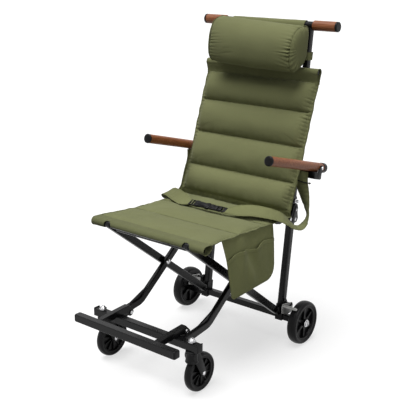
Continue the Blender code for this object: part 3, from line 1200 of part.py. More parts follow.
def add_seat_notches(body, seat):
    """Room for the braces' heads in the front hem, and for the legs at the rear corners."""
    clear = CLOTH / 2
    heading = FORWARD_UP
    across = (-heading[1], heading[0])
    lift = BRACE_DEPTH / 2 + clear
    back_off = BRACE_DEPTH * 4
    upper = (FRONT_TUBE[0] - across[0] * lift, FRONT_TUBE[1] - across[1] * lift)
    if upper[1] < FRONT_TUBE[1]:
        upper = (FRONT_TUBE[0] + across[0] * lift, FRONT_TUBE[1] + across[1] * lift)
    low = (upper[0] - heading[0] * back_off, upper[1] - heading[1] * back_off)
    notch = [(FRONT_TUBE[0] - BRACE_DEPTH, low[1] - BRACE_DEPTH), (low[0], low[1] - BRACE_DEPTH), low, upper,
             (upper[0], FRONT_TUBE[1] + BRACE_DEPTH), (FRONT_TUBE[0] - BRACE_DEPTH, FRONT_TUBE[1] + BRACE_DEPTH)]
    wide = BRACE_WIDTH / 2 + clear
    notches = bmesh.new()
    corners = bmesh.new()
    full = SEAT_REAR_FULL_Y
    corner = box_outline((full, LEG_PIVOT[1] - LEG_DEPTH * 2), (LEG_PIVOT[0] + LEG_DEPTH * 2, SEAT_HEIGHT_LIMIT))
    inner = LEG_X - LEG_WIDTH / 2 - clear
    for side, way in SIDES:
        prism(notch, way * BRACE_X - wide, way * BRACE_X + wide, notches)
        prism(corner, way * inner, way * (SEAT_HALF_WIDTH + LEG_WIDTH), corners)
    cut(body, seat, notches, "front_notches")
    cut(body, seat, corners, "rear_corners")


SEAT_HEIGHT_LIMIT = LEG_PIVOT[1] + LEG_DEPTH * 2


def add_pocket(body, mats):
    """Flat pocket hung under the seat's edge: a tall inner wall and a lower outer one."""
    outer_x = POCKET_X
    inner_x = POCKET_X - POCKET_DEPTH
    drop = CLOTH / 2 + SEAT_PAD_BELOW * seat_fullness(inner_x) + GAP
    top = []
    for k in range(POCKET_TOP_STEPS + 1):
        y = POCKET_FRONT_Y + (POCKET_REAR_Y - POCKET_FRONT_Y) * k / POCKET_TOP_STEPS
        top.append((y, seat_edge_z(y) - drop))
    lower = list(POCKET_LOWER)
    wall = top + lower
    front_panel = list(POCKET_MOUTH) + list(reversed(lower))
    pocket = add(body, "side_pocket", prism(front_panel, inner_x, outer_x), mats["canvas_olive"], smooth=False)
    centre = (sum(y for y, z in front_panel) / len(front_panel), sum(z for y, z in front_panel) / len(front_panel))
    seam = POCKET_WALL * 2.5
    room = []
    for y, z in front_panel:
        reach = math.hypot(y - centre[0], z - centre[1])
        shrink = (reach - seam * 1.5) / reach
        lifted = z + POCKET_DEPTH * 3 if (y, z) in POCKET_MOUTH else centre[1] + (z - centre[1]) * shrink
        room.append((centre[0] + (y - centre[0]) * shrink, lifted))
    cut(body, pocket, prism(room, inner_x + POCKET_WALL, outer_x - POCKET_WALL), "room")
    fuse(body, pocket, prism(wall, inner_x, inner_x + POCKET_WALL), "inner_wall")


def ribbon(points, width_ways, width, thickness):
    """A flat strap through 3-D points; each point has the direction of its width."""
    bm = bmesh.new()
    rings = []
    for i, point in enumerate(points):
        before, after = points[max(i - 1, 0)], points[min(i + 1, len(points) - 1)]
        along = (after - before).normalized()
        across = (width_ways[i] - along * width_ways[i].dot(along)).normalized()
        normal = along.cross(across).normalized()
        ring = [bm.verts.new(point + across * (sx * width / 2) + normal * (sn * thickness / 2))
                for sx, sn in ((-1, -1), (1, -1), (1, 1), (-1, 1))]
        rings.append(ring)
    for first, second in zip(rings, rings[1:]):
        join_rings(bm, first, second)
    bm.faces.new(rings[0])
    bm.faces.new(rings[-1])
    return bm


def smooth_route(controls, per_span=4):
    """Catmull-Rom points through the controls, each a vector."""
    points = []
    last = len(controls) - 1
    for i in range(last):
        p0, p1 = controls[max(i - 1, 0)], controls[i]
        p2, p3 = controls[i + 1], controls[min(i + 2, last)]
        for k in range(per_span):
            t = k / per_span
            points.append(0.5 * (2 * p1 + (p2 - p0) * t + (2 * p0 - 5 * p1 + 4 * p2 - p3) * t * t
                                 + (3 * p1 - p0 - 3 * p2 + p3) * t ** 3))
    points.append(controls[last])
    return points


def turned_way(heading_deg, rise_deg):
    heading, rise = math.radians(heading_deg), math.radians(rise_deg)
    return Vector((math.cos(heading) * math.cos(rise), math.sin(heading) * math.cos(rise), math.sin(rise)))


def belt_route(side, way, end_x):
    """Points and width directions of one strap, from the buckle to the armrest's bracket."""
    straight = (end_x, *buckle_centre(), 90, BUCKLE_LEAN_DEG)
    lead = [(end_x + way * STRAIGHT_LEAD, *buckle_centre(), 90, BUCKLE_LEAN_DEG)]
    on_seat = [(x, y, seat_edge_z(y) + above, heading, rise) for x, y, above, heading, rise in BELT_ON_SEAT[side]]
    loop = [(way * x, y, z, 90 + way * (heading - 90), rise) for x, y, z, heading, rise in BELT_LOOP]
    face = ARM_SHELF_FRONT_Y - GAP - BELT_THICKNESS / 2
    low = arm_z(ARM_SHELF_FRONT_Y, ARM_RADIUS + ARM_SHELF_THICKNESS)
    top = [(way * BELT_TOP[0], face, low - STRAIGHT_LEAD / 2, 180 if way > 0 else 0, 0),
           (way * BELT_TOP[0], face, BELT_TOP[1], 180 if way > 0 else 0, 0)]
    controls = lead + on_seat + loop + top
    points = [Vector(straight[:3])] + smooth_route([Vector(entry[:3]) for entry in controls], 3)
    ways = [turned_way(*straight[3:])] + smooth_route([turned_way(*entry[3:]) for entry in controls], 3)
    return points, ways


def add_belt(body, mats):
    """Two straps and the buckle between them."""
    ends = {"left": SOCKET_START_X - GAP, "right": SOCKET_START_X + SOCKET_LENGTH + TONGUE_LENGTH + 2 * GAP}
    for side, way in SIDES:
        points, ways = belt_route(side, way, ends[side])
        add(body, f"belt_{side}", ribbon(points, ways, BELT_WIDTH, BELT_THICKNESS), mats["webbing_olive"])
    add_buckle(body, mats)


def buckle_centre():
    """Side-view centre of the buckle, lying on the seat."""
    return (BUCKLE_Y, seat_edge_z(BUCKLE_Y) + BUCKLE_ABOVE_SEAT)


def buckle_plate(outline, thickness, bm=None):
    """A plate in the belt's leaning plane, from (x, across) points."""
    bm = bm or bmesh.new()
    lean = math.radians(BUCKLE_LEAN_DEG)
    across = Vector((0, math.cos(lean), math.sin(lean)))
    normal = Vector((0, -math.sin(lean), math.cos(lean)))
    layers = []
    for side in (-1, 1):
        layers.append([bm.verts.new(Vector((x, *buckle_centre())) + across * a + normal * (side * thickness / 2))
                       for x, a in outline])
    join_rings(bm, *layers)
    for layer in layers:
        bm.faces.new(layer)
    return bm


def half_buckle(wide_x, narrow_x, height):
    """Outline of one half: full height at its mouth, drawn in to the strap's end."""
    shoulder = wide_x + (narrow_x - wide_x) * 0.55
    return [(wide_x, -height / 2), (shoulder, -height / 2), (narrow_x, -BUCKLE_END_HEIGHT / 2),
            (narrow_x, BUCKLE_END_HEIGHT / 2), (shoulder, height / 2), (wide_x, height / 2)]


def flat_box(x0, x1, height):
    return [(x0, -height / 2), (x1, -height / 2), (x1, height / 2), (x0, height / 2)]


def add_buckle(body, mats):
    mouth = SOCKET_START_X + SOCKET_LENGTH
    socket = add(body, "buckle_socket", buckle_plate(half_buckle(mouth, SOCKET_START_X, SOCKET_HEIGHT),
                                                     SOCKET_THICKNESS), mats["moulded_black"], smooth=False)
    soften(socket)
    slot = buckle_plate(flat_box(mouth - PRONG_LENGTH - 2 * GAP, mouth + TONGUE_LENGTH, PRONG_HEIGHT + 2 * GAP),
                        PRONG_THICKNESS + 2 * GAP)
    cut(body, socket, slot, "slot")
    slide = Body("buckle_slide", (mouth, *buckle_centre()), body)
    start = mouth + GAP
    tongue = add(slide, "buckle_tongue", buckle_plate(half_buckle(start, start + TONGUE_LENGTH, TONGUE_HEIGHT),
                                                      TONGUE_THICKNESS), mats["moulded_black"], smooth=False)
    soften(tongue)
    prong = buckle_plate(flat_box(mouth - PRONG_LENGTH, start + PRONG_LENGTH, PRONG_HEIGHT), PRONG_THICKNESS)
    fuse(slide, tongue, prong, "prong")


def build():
    clear_scene()
    mats = make_materials()
    rear = Body("rear_frame", (0, 0, 0))
    brace = Body("brace_frame", (0, *BRACE_PIVOT), rear)
    leg = Body("leg_frame", (0, *SCISSOR), brace)
    carriage = Body("mast_carriage", (0, line_y(UPRIGHT_TOP_Z), UPRIGHT_TOP_Z), rear)
    back = Body("back_frame", (0, *KNUCKLE), carriage)
    footrest = Body("footrest", (0, FOOT_HINGE_Y, FOOT_HINGE_Z), leg)
    build_rear_frame(rear, mats)
    build_brace_frame(brace, mats)
    build_leg_frame(leg, mats)
    build_footrest(footrest, mats)
    build_carriage(carriage, mats)
    build_back_frame(back, mats)
    for side, way in SIDES:
        build_rear_wheel(rear, side, way, mats)
        build_brake(rear, side, way, mats)
        build_caster(leg, side, way, mats)
        build_armrest(back, side, way, mats)
        build_latch(back, side, way, mats)
    add_back_cover(back, mats)
    add_pillow(back, mats)
    add_seat(brace, mats)
    add_pocket(brace, mats)
    add_belt(leg, mats)


build()
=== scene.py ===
"""Folding transport chair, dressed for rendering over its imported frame.

All coordinates are metres in the frame's own space. Side-view places measured on the
photograph are given through at(), which adds the chair's shift along Y.
"""
import json
import math

import bpy
from mathutils import Matrix, Vector, noise


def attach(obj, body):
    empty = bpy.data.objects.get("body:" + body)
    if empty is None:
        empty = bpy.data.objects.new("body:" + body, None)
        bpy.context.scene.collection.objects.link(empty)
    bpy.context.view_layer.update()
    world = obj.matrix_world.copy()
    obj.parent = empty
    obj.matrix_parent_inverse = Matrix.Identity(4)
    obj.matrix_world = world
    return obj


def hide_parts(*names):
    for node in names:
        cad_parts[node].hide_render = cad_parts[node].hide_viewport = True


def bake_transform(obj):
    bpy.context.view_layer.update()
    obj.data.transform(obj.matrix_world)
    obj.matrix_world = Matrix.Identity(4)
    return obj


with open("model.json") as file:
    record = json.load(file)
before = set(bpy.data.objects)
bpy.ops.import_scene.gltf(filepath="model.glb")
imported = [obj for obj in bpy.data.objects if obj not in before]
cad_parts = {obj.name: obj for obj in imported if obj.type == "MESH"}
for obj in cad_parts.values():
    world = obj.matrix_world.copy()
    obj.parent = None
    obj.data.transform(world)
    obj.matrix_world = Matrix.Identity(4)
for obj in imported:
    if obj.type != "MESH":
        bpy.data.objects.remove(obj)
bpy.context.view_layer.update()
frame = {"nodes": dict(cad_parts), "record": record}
NODES = frame["nodes"]

# Chair's shift along Y
SHIFT = 0.03677
# Lean of the posts, and a point on their line
LEAN = math.radians(6.52)
POST_Y = 0.2110
POST_Z = 0.1000
POST_X = 0.1630

SIDES = (("left", -1), ("right", 1))

# Thickness of plain cloth and of the seat's sleeves, and the radius of a stitch
CLOTH = 0.0013
SEAT_CLOTH = 0.0016
STITCH = 0.00035
# Radius of the cord in a bound edge, and how far from a seam the cloth is held by it
CORD = 0.0024
SEAM_GRIP = 0.0026
# From one gather to the next along a panel's side band
GATHER = 0.0125
# Cloth simulation that fills the padded pieces
FILL_FRAMES = 20
STIFFNESS = 15.0
BENDING_STIFFNESS = 0.4


def at(x, y, z):
    """A place given with y in the photograph's side view."""
    return Vector((x, y + SHIFT, z))


def post_y(z):
    """Where the posts' middle line is at a height."""
    return POST_Y + (z - POST_Z) * math.tan(LEAN)


def fill(tree, node, sockets):
    """Sets or links inputs of a node, by name or number."""
    for key, value in sockets.items():
        if isinstance(value, bpy.types.NodeSocket):
            tree.links.new(value, node.inputs[key])
        else:
            node.inputs[key].default_value = value


def add_node(tree, kind, sockets, **own):
    """A new node with its own settings and its inputs."""
    node = tree.nodes.new(kind)
    for key, value in own.items():
        setattr(node, key, value)
    fill(tree, node, sockets)
    return node


def calc(tree, operation, *values):
    """The result of a maths node on values or other nodes' results."""
    return add_node(tree, "ShaderNodeMath", dict(enumerate(values)), operation=operation).outputs[0]


def new_material(name):
    """A material, its tree and its shader."""
    material = bpy.data.materials.new(name)
    material.use_nodes = True
    tree = material.node_tree
    return material, tree, tree.nodes["Principled BSDF"]


def group(name, inputs, outputs):
    """An empty shader group with its sockets; inputs are (name, kind, default)."""
    tree = bpy.data.node_groups.new(name, "ShaderNodeTree")
    for label, kind, value in inputs:
        socket = tree.interface.new_socket(name=label, in_out="INPUT", socket_type=kind)
        if value is not None:
            socket.default_value = value
    for label, kind in outputs:
        tree.interface.new_socket(name=label, in_out="OUTPUT", socket_type=kind)
    return tree, tree.nodes.new("NodeGroupInput").outputs, tree.nodes.new("NodeGroupOutput")


def make_tint_group():
    """Cloudy change of a colour and of roughness at a chosen size."""
    tree, given, end = group(
        "cloudy_tint",
        [("Vector", "NodeSocketVector", None), ("Color", "NodeSocketColor", (0.5, 0.5, 0.5, 1)),
         ("Scale", "NodeSocketFloat", 8.0), ("Amount", "NodeSocketFloat", 0.1),
         ("Roughness", "NodeSocketFloat", 0.5), ("Roughness Amount", "NodeSocketFloat", 0.05)],
        [("Color", "NodeSocketColor"), ("Roughness", "NodeSocketFloat")])
    cloud = add_node(tree, "ShaderNodeTexNoise",
                     {"Vector": given["Vector"], "Scale": given["Scale"], "Detail": 4}).outputs["Fac"]
    swing = calc(tree, "MULTIPLY", calc(tree, "SUBTRACT", cloud, 0.5), 2.0)
    spread = calc(tree, "MULTIPLY_ADD", swing, given["Amount"], 1.0)
    shade = add_node(tree, "ShaderNodeVectorMath", {0: given["Color"], "Scale": spread}, operation="SCALE")
    rough = calc(tree, "MULTIPLY_ADD", swing, given["Roughness Amount"], given["Roughness"])
    fill(tree, end, {"Color": shade.outputs["Vector"], "Roughness": rough})
    return tree


def make_weave_group():
    """Plain weave from two crossing thread directions: height, and painted shade that darkens its low points
    and lightens its high points.
    """
    tree, given, end = group(
        "plain_weave",
        [("Vector", "NodeSocketVector", None), ("Threads", "NodeSocketFloat", 4200.0)],
        [("Height", "NodeSocketFloat"), ("Shade", "NodeSocketFloat")])
    split = add_node(tree, "ShaderNodeSeparateXYZ", {0: given["Vector"]})
    waves = [calc(tree, "SINE", calc(tree, "MULTIPLY", split.outputs[axis], given["Threads"]))
             for axis in ("X", "Y")]
    height = calc(tree, "MULTIPLY_ADD", calc(tree, "MULTIPLY", *waves), 0.5, 0.5)
    # Painted shade: the colour follows the weave's height, darker in its low points and lighter on its high
    # points
    shade = add_node(tree, "ShaderNodeMapRange", {"Value": height, "To Min": 0.94, "To Max": 1.05})
    fill(tree, end, {"Height": height, "Shade": shade.outputs[0]})
    return tree


TINT = make_tint_group()
WEAVE = make_weave_group()


def tinted(tree, shader, colour, scale, amount, roughness, roughness_amount):
    """Puts the cloudy tint before the shader; returns the place and the tinted colour."""
    place = add_node(tree, "ShaderNodeTexCoord", {}).outputs["Object"]
    tint = add_node(tree, "ShaderNodeGroup",
                    {"Vector": place, "Color": (*colour, 1), "Scale": scale, "Amount": amount,
                     "Roughness": roughness, "Roughness Amount": roughness_amount}, node_tree=TINT)
    fill(tree, shader, {"Base Color": tint.outputs["Color"], "Roughness": tint.outputs["Roughness"]})
    return place, tint.outputs["Color"]


def bumped(tree, shader, height, strength, distance):
    """Gives the shader a relief from a height."""
    bump = add_node(tree, "ShaderNodeBump", {"Strength": strength, "Distance": distance, "Height": height})
    fill(tree, shader, {"Normal": bump.outputs["Normal"]})


def make_hard(name, colour, tint, grain, relief, shine):
    """A hard finish: tint is (scale, amount, roughness, its amount), grain (scale, detail)."""
    material, tree, shader = new_material(name)
    place = tinted(tree, shader, colour, *tint)[0]
    fine = add_node(tree, "ShaderNodeTexNoise", {"Vector": place, "Scale": grain[0], "Detail": grain[1]})
    bumped(tree, shader, fine.outputs["Fac"], *relief)
    fill(tree, shader, shine)
    return material


def make_wood(name, turn):
    """Red-brown wood look, its streaks along the piece's own length."""
    material, tree, shader = new_material(name)
    place = add_node(tree, "ShaderNodeTexCoord", {}).outputs["Object"]
    laid = add_node(tree, "ShaderNodeMapping",
                    {"Vector": place, "Rotation": turn, "Scale": (1.0, 16.0, 16.0)}).outputs["Vector"]
    streak = add_node(tree, "ShaderNodeTexNoise",
                      {"Vector": laid, "Scale": 14, "Detail": 6, "Distortion": 0.6}).outputs["Fac"]
    ramp = add_node(tree, "ShaderNodeValToRGB", {"Fac": streak})
    stops = ramp.color_ramp.elements
    stops[0].position, stops[0].color = 0.28, (0.150, 0.044, 0.015, 1)
    stops[1].position, stops[1].color = 0.74, (0.330, 0.126, 0.050, 1)
    stops.new(0.5).color = (0.245, 0.082, 0.030, 1)
    rough = add_node(tree, "ShaderNodeMapRange", {"Value": streak, "To Min": 0.34, "To Max": 0.50})
    bumped(tree, shader, streak, 0.05, 0.0003)
    fill(tree, shader, {"Base Color": ramp.outputs["Color"], "Roughness": rough.outputs[0],
                        "Specular IOR Level": 0.28})
    return material


FLAT_CLOTH = (0, 0, 0)
UPRIGHT_CLOTH = (math.radians(-90), 0, 0)
SIDE_CLOTH = (0, math.radians(90), 0)


def make_canvas(name, colour, turn, threads=4200.0, bump=0.35):
    """Matte olive canvas: weave laid on the piece's own face with its relief and its painted shade, cloudy
    tone, soft sheen.
    """
    material, tree, shader = new_material(name)
    place, tint = tinted(tree, shader, colour, 9, 0.10, 0.88, 0.04)
    laid = add_node(tree, "ShaderNodeMapping", {"Vector": place, "Rotation": turn}).outputs["Vector"]
    weave = add_node(tree, "ShaderNodeGroup", {"Vector": laid, "Threads": threads}, node_tree=WEAVE)
    # The weave's painted shade scales the tinted colour
    shaded = add_node(tree, "ShaderNodeVectorMath", {0: tint, "Scale": weave.outputs["Shade"]},
                      operation="SCALE")
    bumped(tree, shader, weave.outputs["Height"], bump, 0.0004)
    fill(tree, shader, {"Base Color": shaded.outputs["Vector"], "Sheen Weight": 0.08,
                        "Sheen Roughness": 0.5, "Specular IOR Level": 0.08})
    return material


FINISH = {
    # Satin enamel of the tubes with a faint orange peel, and plastic with a spark-eroded grain
    "frame_black": make_hard("satin_black_enamel", (0.0038, 0.0038, 0.0042), (60, 0.25, 0.27, 0.06),
                             (900, 2), (0.12, 0.0004), {"Specular IOR Level": 0.19}),
    "moulded_black": make_hard("black_moulding", (0.0036, 0.0036, 0.0040), (40, 0.2, 0.33, 0.06),
                               (1600, 3), (0.25, 0.0003), {"Specular IOR Level": 0.14}),
    "tyre_black": make_hard("tyre_rubber", (0.0036, 0.0036, 0.0039), (30, 0.25, 0.40, 0.08),
                            (1200, 4), (0.3, 0.0004), {"Specular IOR Level": 0.14}),
    # Bright plated steel with handling marks, and the duller plate of the brake levers
    "bright_steel": make_hard("bright_steel", (0.60, 0.60, 0.61), (120, 0.12, 0.24, 0.08),
                              (500, 5), (0.08, 0.0003), {"Metallic": 1.0}),
    "dull_zinc": make_hard("dull_zinc", (0.40, 0.40, 0.39), (90, 0.15, 0.46, 0.08),
                           (700, 4), (0.10, 0.0003), {"Metallic": 0.55}),
    "wood_grip": make_wood("wood_grip", (0, 0, 0)),
    "wood_arm": make_wood("wood_arm", (0, 0, math.radians(90))),
    "canvas_back": make_canvas("olive_canvas_back", (0.176, 0.185, 0.086), UPRIGHT_CLOTH),
    "canvas_seat": make_canvas("olive_canvas_seat", (0.170, 0.180, 0.085), FLAT_CLOTH),
    # The side pocket's canvas is lighter than the rest as painted light, making up for its side-facing cloth
    # getting less light
    "canvas_side_painted_light": make_canvas("olive_canvas_side_painted_light", (0.225, 0.237, 0.104), SIDE_CLOTH),
    # The front hem's canvas is darker than the seat's as painted shade for the shaded underside of its roll
    "canvas_hem_painted_shade": make_canvas("olive_canvas_hem_painted_shade", (0.132, 0.140, 0.066), FLAT_CLOTH),
    "webbing": make_canvas("olive_webbing", (0.184, 0.194, 0.088), FLAT_CLOTH, 2600.0, 0.6),
    "binding": make_canvas("olive_binding", (0.132, 0.140, 0.062), UPRIGHT_CLOTH, 5200.0),
    "thread": make_canvas("olive_thread", (0.100, 0.107, 0.048), UPRIGHT_CLOTH, 9000.0),
}
# Finish of the solids in a slot, where it isn't named as the slot
PLAIN = {"wood_brown": "wood_grip", "canvas_olive": "canvas_back", "webbing_olive": "webbing"}


def finish_nodes():
    """Gives each CAD node the procedural finish of its slot."""
    for entry in frame["record"]["subparts"]:
        slot = entry["material_slot"]
        materials = NODES[entry["node"]].data.materials
        materials.clear()
        materials.append(FINISH[PLAIN.get(slot, slot)])


WHITE = (1, 1, 1, 1)
FLOOR_BOUNCE = 0.14
FLOOR_SHOWN = 0.42
FLOOR_GLOW = 0.64
SKY_STRENGTH = 0.100


def seen_rays(tree):
    """1 for rays that show a surface, straight, mirrored or through glass, and 0 for bounced light."""
    rays = add_node(tree, "ShaderNodeLightPath", {}).outputs
    sharp = calc(tree, "MAXIMUM", rays["Is Camera Ray"], rays["Is Glossy Ray"])
    return calc(tree, "MAXIMUM", sharp, rays["Is Transmission Ray"])


def make_floor():
    """White to the camera apart from the chair's soft shadow, and a modest bounce on the chair."""
    material, tree, shader = new_material("pale_floor")
    fill(tree, shader, {"Base Color": (FLOOR_BOUNCE, FLOOR_BOUNCE, FLOOR_BOUNCE, 1), "Roughness": 0.95,
                        "Specular IOR Level": 0.0})
    shown = add_node(tree, "ShaderNodeBsdfDiffuse", {"Color": (FLOOR_SHOWN, FLOOR_SHOWN, FLOOR_SHOWN, 1)})
    glow = add_node(tree, "ShaderNodeEmission", {"Color": WHITE, "Strength": FLOOR_GLOW})
    both = add_node(tree, "ShaderNodeAddShader", {0: shown.outputs[0], 1: glow.outputs[0]})
    mix = add_node(tree, "ShaderNodeMixShader", {0: seen_rays(tree), 1: shader.outputs[0], 2: both.outputs[0]})
    fill(tree, tree.nodes["Material Output"], {"Surface": mix.outputs[0]})
    return material


def add_world():
    """Dim white light all round that shows as plain white."""
    world = bpy.data.worlds.new("studio_world")
    bpy.context.scene.world = world
    world.use_nodes = True
    tree = world.node_tree
    sky = tree.nodes["Background"]
    fill(tree, sky, {"Color": WHITE, "Strength": SKY_STRENGTH})
    seen = add_node(tree, "ShaderNodeBackground", {"Color": WHITE, "Strength": 1.0})
    mix = add_node(tree, "ShaderNodeMixShader", {0: seen_rays(tree), 1: sky.outputs[0], 2: seen.outputs[0]})
    fill(tree, tree.nodes["World Output"], {"Surface": mix.outputs[0]})


def add_sun(name, toward, spread, strength):
    """Light from far off in a direction, its spread in degrees."""
    bpy.ops.object.light_add(type="SUN", location=Vector(toward) * 4)
    lamp = bpy.context.object
    lamp.name = name
    lamp.data.angle = math.radians(spread)
    lamp.data.energy = strength
    lamp.rotation_euler = (-Vector(toward)).to_track_quat("-Z", "Y").to_euler()


def add_studio():
    """Pale floor, soft light from above the viewer's left, and a weak fill from the right."""
    bpy.ops.mesh.primitive_plane_add(size=120, location=(0, 0, -0.0005))
    floor = bpy.context.object
    floor.name = "studio_floor"
    floor.data.materials.append(make_floor())
    add_world()
    add_sun("key_sun", (-0.14, -0.25, 1.00), 50, 3.60)
    add_sun("fill_sun", (1.00, -0.45, 0.30), 60, 0.80)
    bpy.context.scene.view_settings.view_transform = "Standard"


CAMERA_AZIMUTH = math.radians(38.205)
CAMERA_ELEVATION = math.radians(16.969)
CAMERA_ROLL = math.radians(0.627)
CAMERA_AIM = (0.00054, 0, 0.4816)
CAMERA_DISTANCE = 2.67462
SENSOR = 36
FOCAL_PIXELS = 818.68
PHOTO_PIXELS = 416


def add_camera():
    """The photograph's camera, solved from points of known relation."""
    c, s = math.cos(CAMERA_ELEVATION), math.sin(CAMERA_ELEVATION)
    back = Vector((math.sin(CAMERA_AZIMUTH) * c, -math.cos(CAMERA_AZIMUTH) * c, s))
    level = Vector((math.cos(CAMERA_AZIMUTH), math.sin(CAMERA_AZIMUTH), 0))
    up = back.cross(level)
    right = level * math.cos(CAMERA_ROLL) + up * math.sin(CAMERA_ROLL)
    up = back.cross(right)
    bpy.ops.object.camera_add(location=at(*CAMERA_AIM) + back * CAMERA_DISTANCE)
    camera = bpy.context.object
    camera.name = "photo_camera"
    camera.rotation_mode = "QUATERNION"
    camera.rotation_quaternion = Matrix((right, up, back)).transposed().to_quaternion()
    camera.data.sensor_width = SENSOR
    camera.data.lens = SENSOR * FOCAL_PIXELS / PHOTO_PIXELS
    camera.data.clip_end = 100
    bpy.context.scene.camera = camera


def only(piece):
    """Selects one object and makes it active."""
    bpy.ops.object.select_all(action="DESELECT")
    piece.select_set(True)
    bpy.context.view_layer.objects.active = piece


def edit(piece, kind="VERT", chosen="SELECT"):
    """Opens a piece in edit mode with all or none of it selected."""
    only(piece)
    bpy.ops.object.mode_set(mode="EDIT")
    bpy.ops.mesh.select_mode(type=kind)
    bpy.ops.mesh.select_all(action=chosen)


def leave():
    """Back to object mode."""
    bpy.ops.object.mode_set(mode="OBJECT")


def apply_all(piece):
    """Works all modifiers into the mesh, in their order."""
    only(piece)
    for modifier in list(piece.modifiers):
        bpy.ops.object.modifier_apply(modifier=modifier.name)


def settle(piece):
    """Puts the object at the origin, unturned and unscaled, with its place in its mesh."""
    only(piece)
    bpy.ops.object.transform_apply(location=True, rotation=True, scale=True)


def smooth(piece, angle):
    """Shades smooth, apart from edges sharper than the angle."""
    only(piece)
    bpy.ops.object.shade_smooth_by_angle(angle=math.radians(angle))


def done(piece, name, finish, body, replaces=(), angle=40):
    """Names a finished piece and gives it its finish and its body; a pair of bodies for a bend is not used,
    and the piece only has its place baked in.
    """
    settle(piece)
    piece.name = name
    piece.data.name = name
    piece.data.materials.clear()
    piece.data.materials.append(FINISH[finish])
    smooth(piece, angle)
    if isinstance(body, str):
        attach(piece, body)
    else:
        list(body)
        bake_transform(piece)
    if replaces:
        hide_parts(*replaces)
    return piece


def joined(pieces):
    """One object of several."""
    bpy.ops.object.select_all(action="DESELECT")
    for piece in pieces:
        piece.select_set(True)
    bpy.context.view_layer.objects.active = pieces[0]
    bpy.ops.object.join()
    return bpy.context.object


def tidy_normals(piece, distance=0.00002):
    """Merges points that meet and turns every face outwards."""
    edit(piece)
    bpy.ops.mesh.remove_doubles(threshold=distance)
    bpy.ops.mesh.normals_make_consistent(inside=False)
    leave()


def drawn(points):
    """A line through the points, one point extruded to each next place, left open in edit mode."""
    bpy.ops.object.select_all(action="DESELECT")
    bpy.ops.mesh.primitive_plane_add(size=0.01, location=(0, 0, 0))
    piece = bpy.context.object
    edit(piece)
    bpy.ops.mesh.merge(type="CENTER")
    bpy.ops.transform.translate(value=points[0])
    for first, second in zip(points, points[1:]):
        bpy.ops.mesh.extrude_region_move(TRANSFORM_OT_translate={"value": second - first})
    bpy.ops.mesh.select_all(action="SELECT")
    return piece


def spun(profile, centre, steps, closed=False, axis="X"):
    """Turns a profile of (along, radius) about an axis through centre."""
    across = {"X": Vector((0, 0, 1)), "Z": Vector((0, 1, 0))}[axis]
    along = {"X": Vector((1, 0, 0)), "Z": Vector((0, 0, 1))}[axis]
    points = [along * a + across * r for a, r in profile]
    if closed:
        points.append(points[0])
    piece = drawn(points)
    bpy.ops.mesh.spin(steps=steps, angle=math.radians(360), center=(0, 0, 0), axis=along)
    leave()
    tidy_normals(piece)
    piece.location = centre
    settle(piece)
    return piece


def rounded(points, radius, steps=3):
    """Profile points with each inner corner replaced by a short curve."""
    out = [points[0]]
    for before, here, after in zip(points, points[1:], points[2:]):
        a, b, c = Vector(before), Vector(here), Vector(after)
        reach = min(radius, (a - b).length * 0.45, (c - b).length * 0.45)
        start, end = b + (a - b).normalized() * reach, b + (c - b).normalized() * reach
        for k in range(steps + 1):
            t = k / steps
            out.append(tuple(start * (1 - t) ** 2 + b * 2 * t * (1 - t) + end * t * t))
    out.append(points[-1])
    return out


def tube_mesh(lines, radius, resolution):
    """Round tubes along lines of points, drawn as a curve and made a mesh."""
    curve = bpy.data.curves.new("tubes", "CURVE")
    curve.dimensions = "3D"
    curve.bevel_depth = radius
    curve.bevel_resolution = resolution
    curve.use_fill_caps = True
    for line in lines:
        spline = curve.splines.new("POLY")
        spline.points.add(len(line) - 1)
        for knot, point in zip(spline.points, line):
            knot.co = (*point, 1)
    piece = bpy.data.objects.new("tubes", curve)
    bpy.context.scene.collection.objects.link(piece)
    only(piece)
    bpy.ops.object.convert(target="MESH")
    return bpy.context.object


def piped(points, radius):
    """A round cord, pipe or roll along points."""
    return tube_mesh([points], radius, 1)


def stitch_row(ends, count, radius=STITCH, sewn=0.62):
    """A row of separate stitches along the place function of 0 to 1; sewn is the share that they cover."""
    lines = []
    for k in range(count):
        a, b = ends(k / count), ends((k + sewn) / count)
        lines.append((a, a.lerp(b, 0.5), b))
    return tube_mesh(lines, radius, 0)


def cloth_grid(name, columns, rows, place):
    """A grid of cloth, each point put by place(u, v) with u and v from 0 to 1."""
    bpy.ops.object.select_all(action="DESELECT")
    bpy.ops.mesh.primitive_grid_add(x_subdivisions=columns, y_subdivisions=rows, size=2, location=(0, 0, 0))
    piece = bpy.context.object
    piece.name = name
    for vert in piece.data.vertices:
        vert.co = place((vert.co.x + 1) / 2, (vert.co.y + 1) / 2)
    return piece


def thicken(piece, thickness=CLOTH, offset=0.0):
    """Gives a sheet its thickness, to both sides or with offset 1 outwards."""
    solid = piece.modifiers.new("cloth_thickness", "SOLIDIFY")
    solid.thickness = thickness
    solid.offset = offset
    solid.use_even_offset = True
    apply_all(piece)
    tidy_normals(piece)


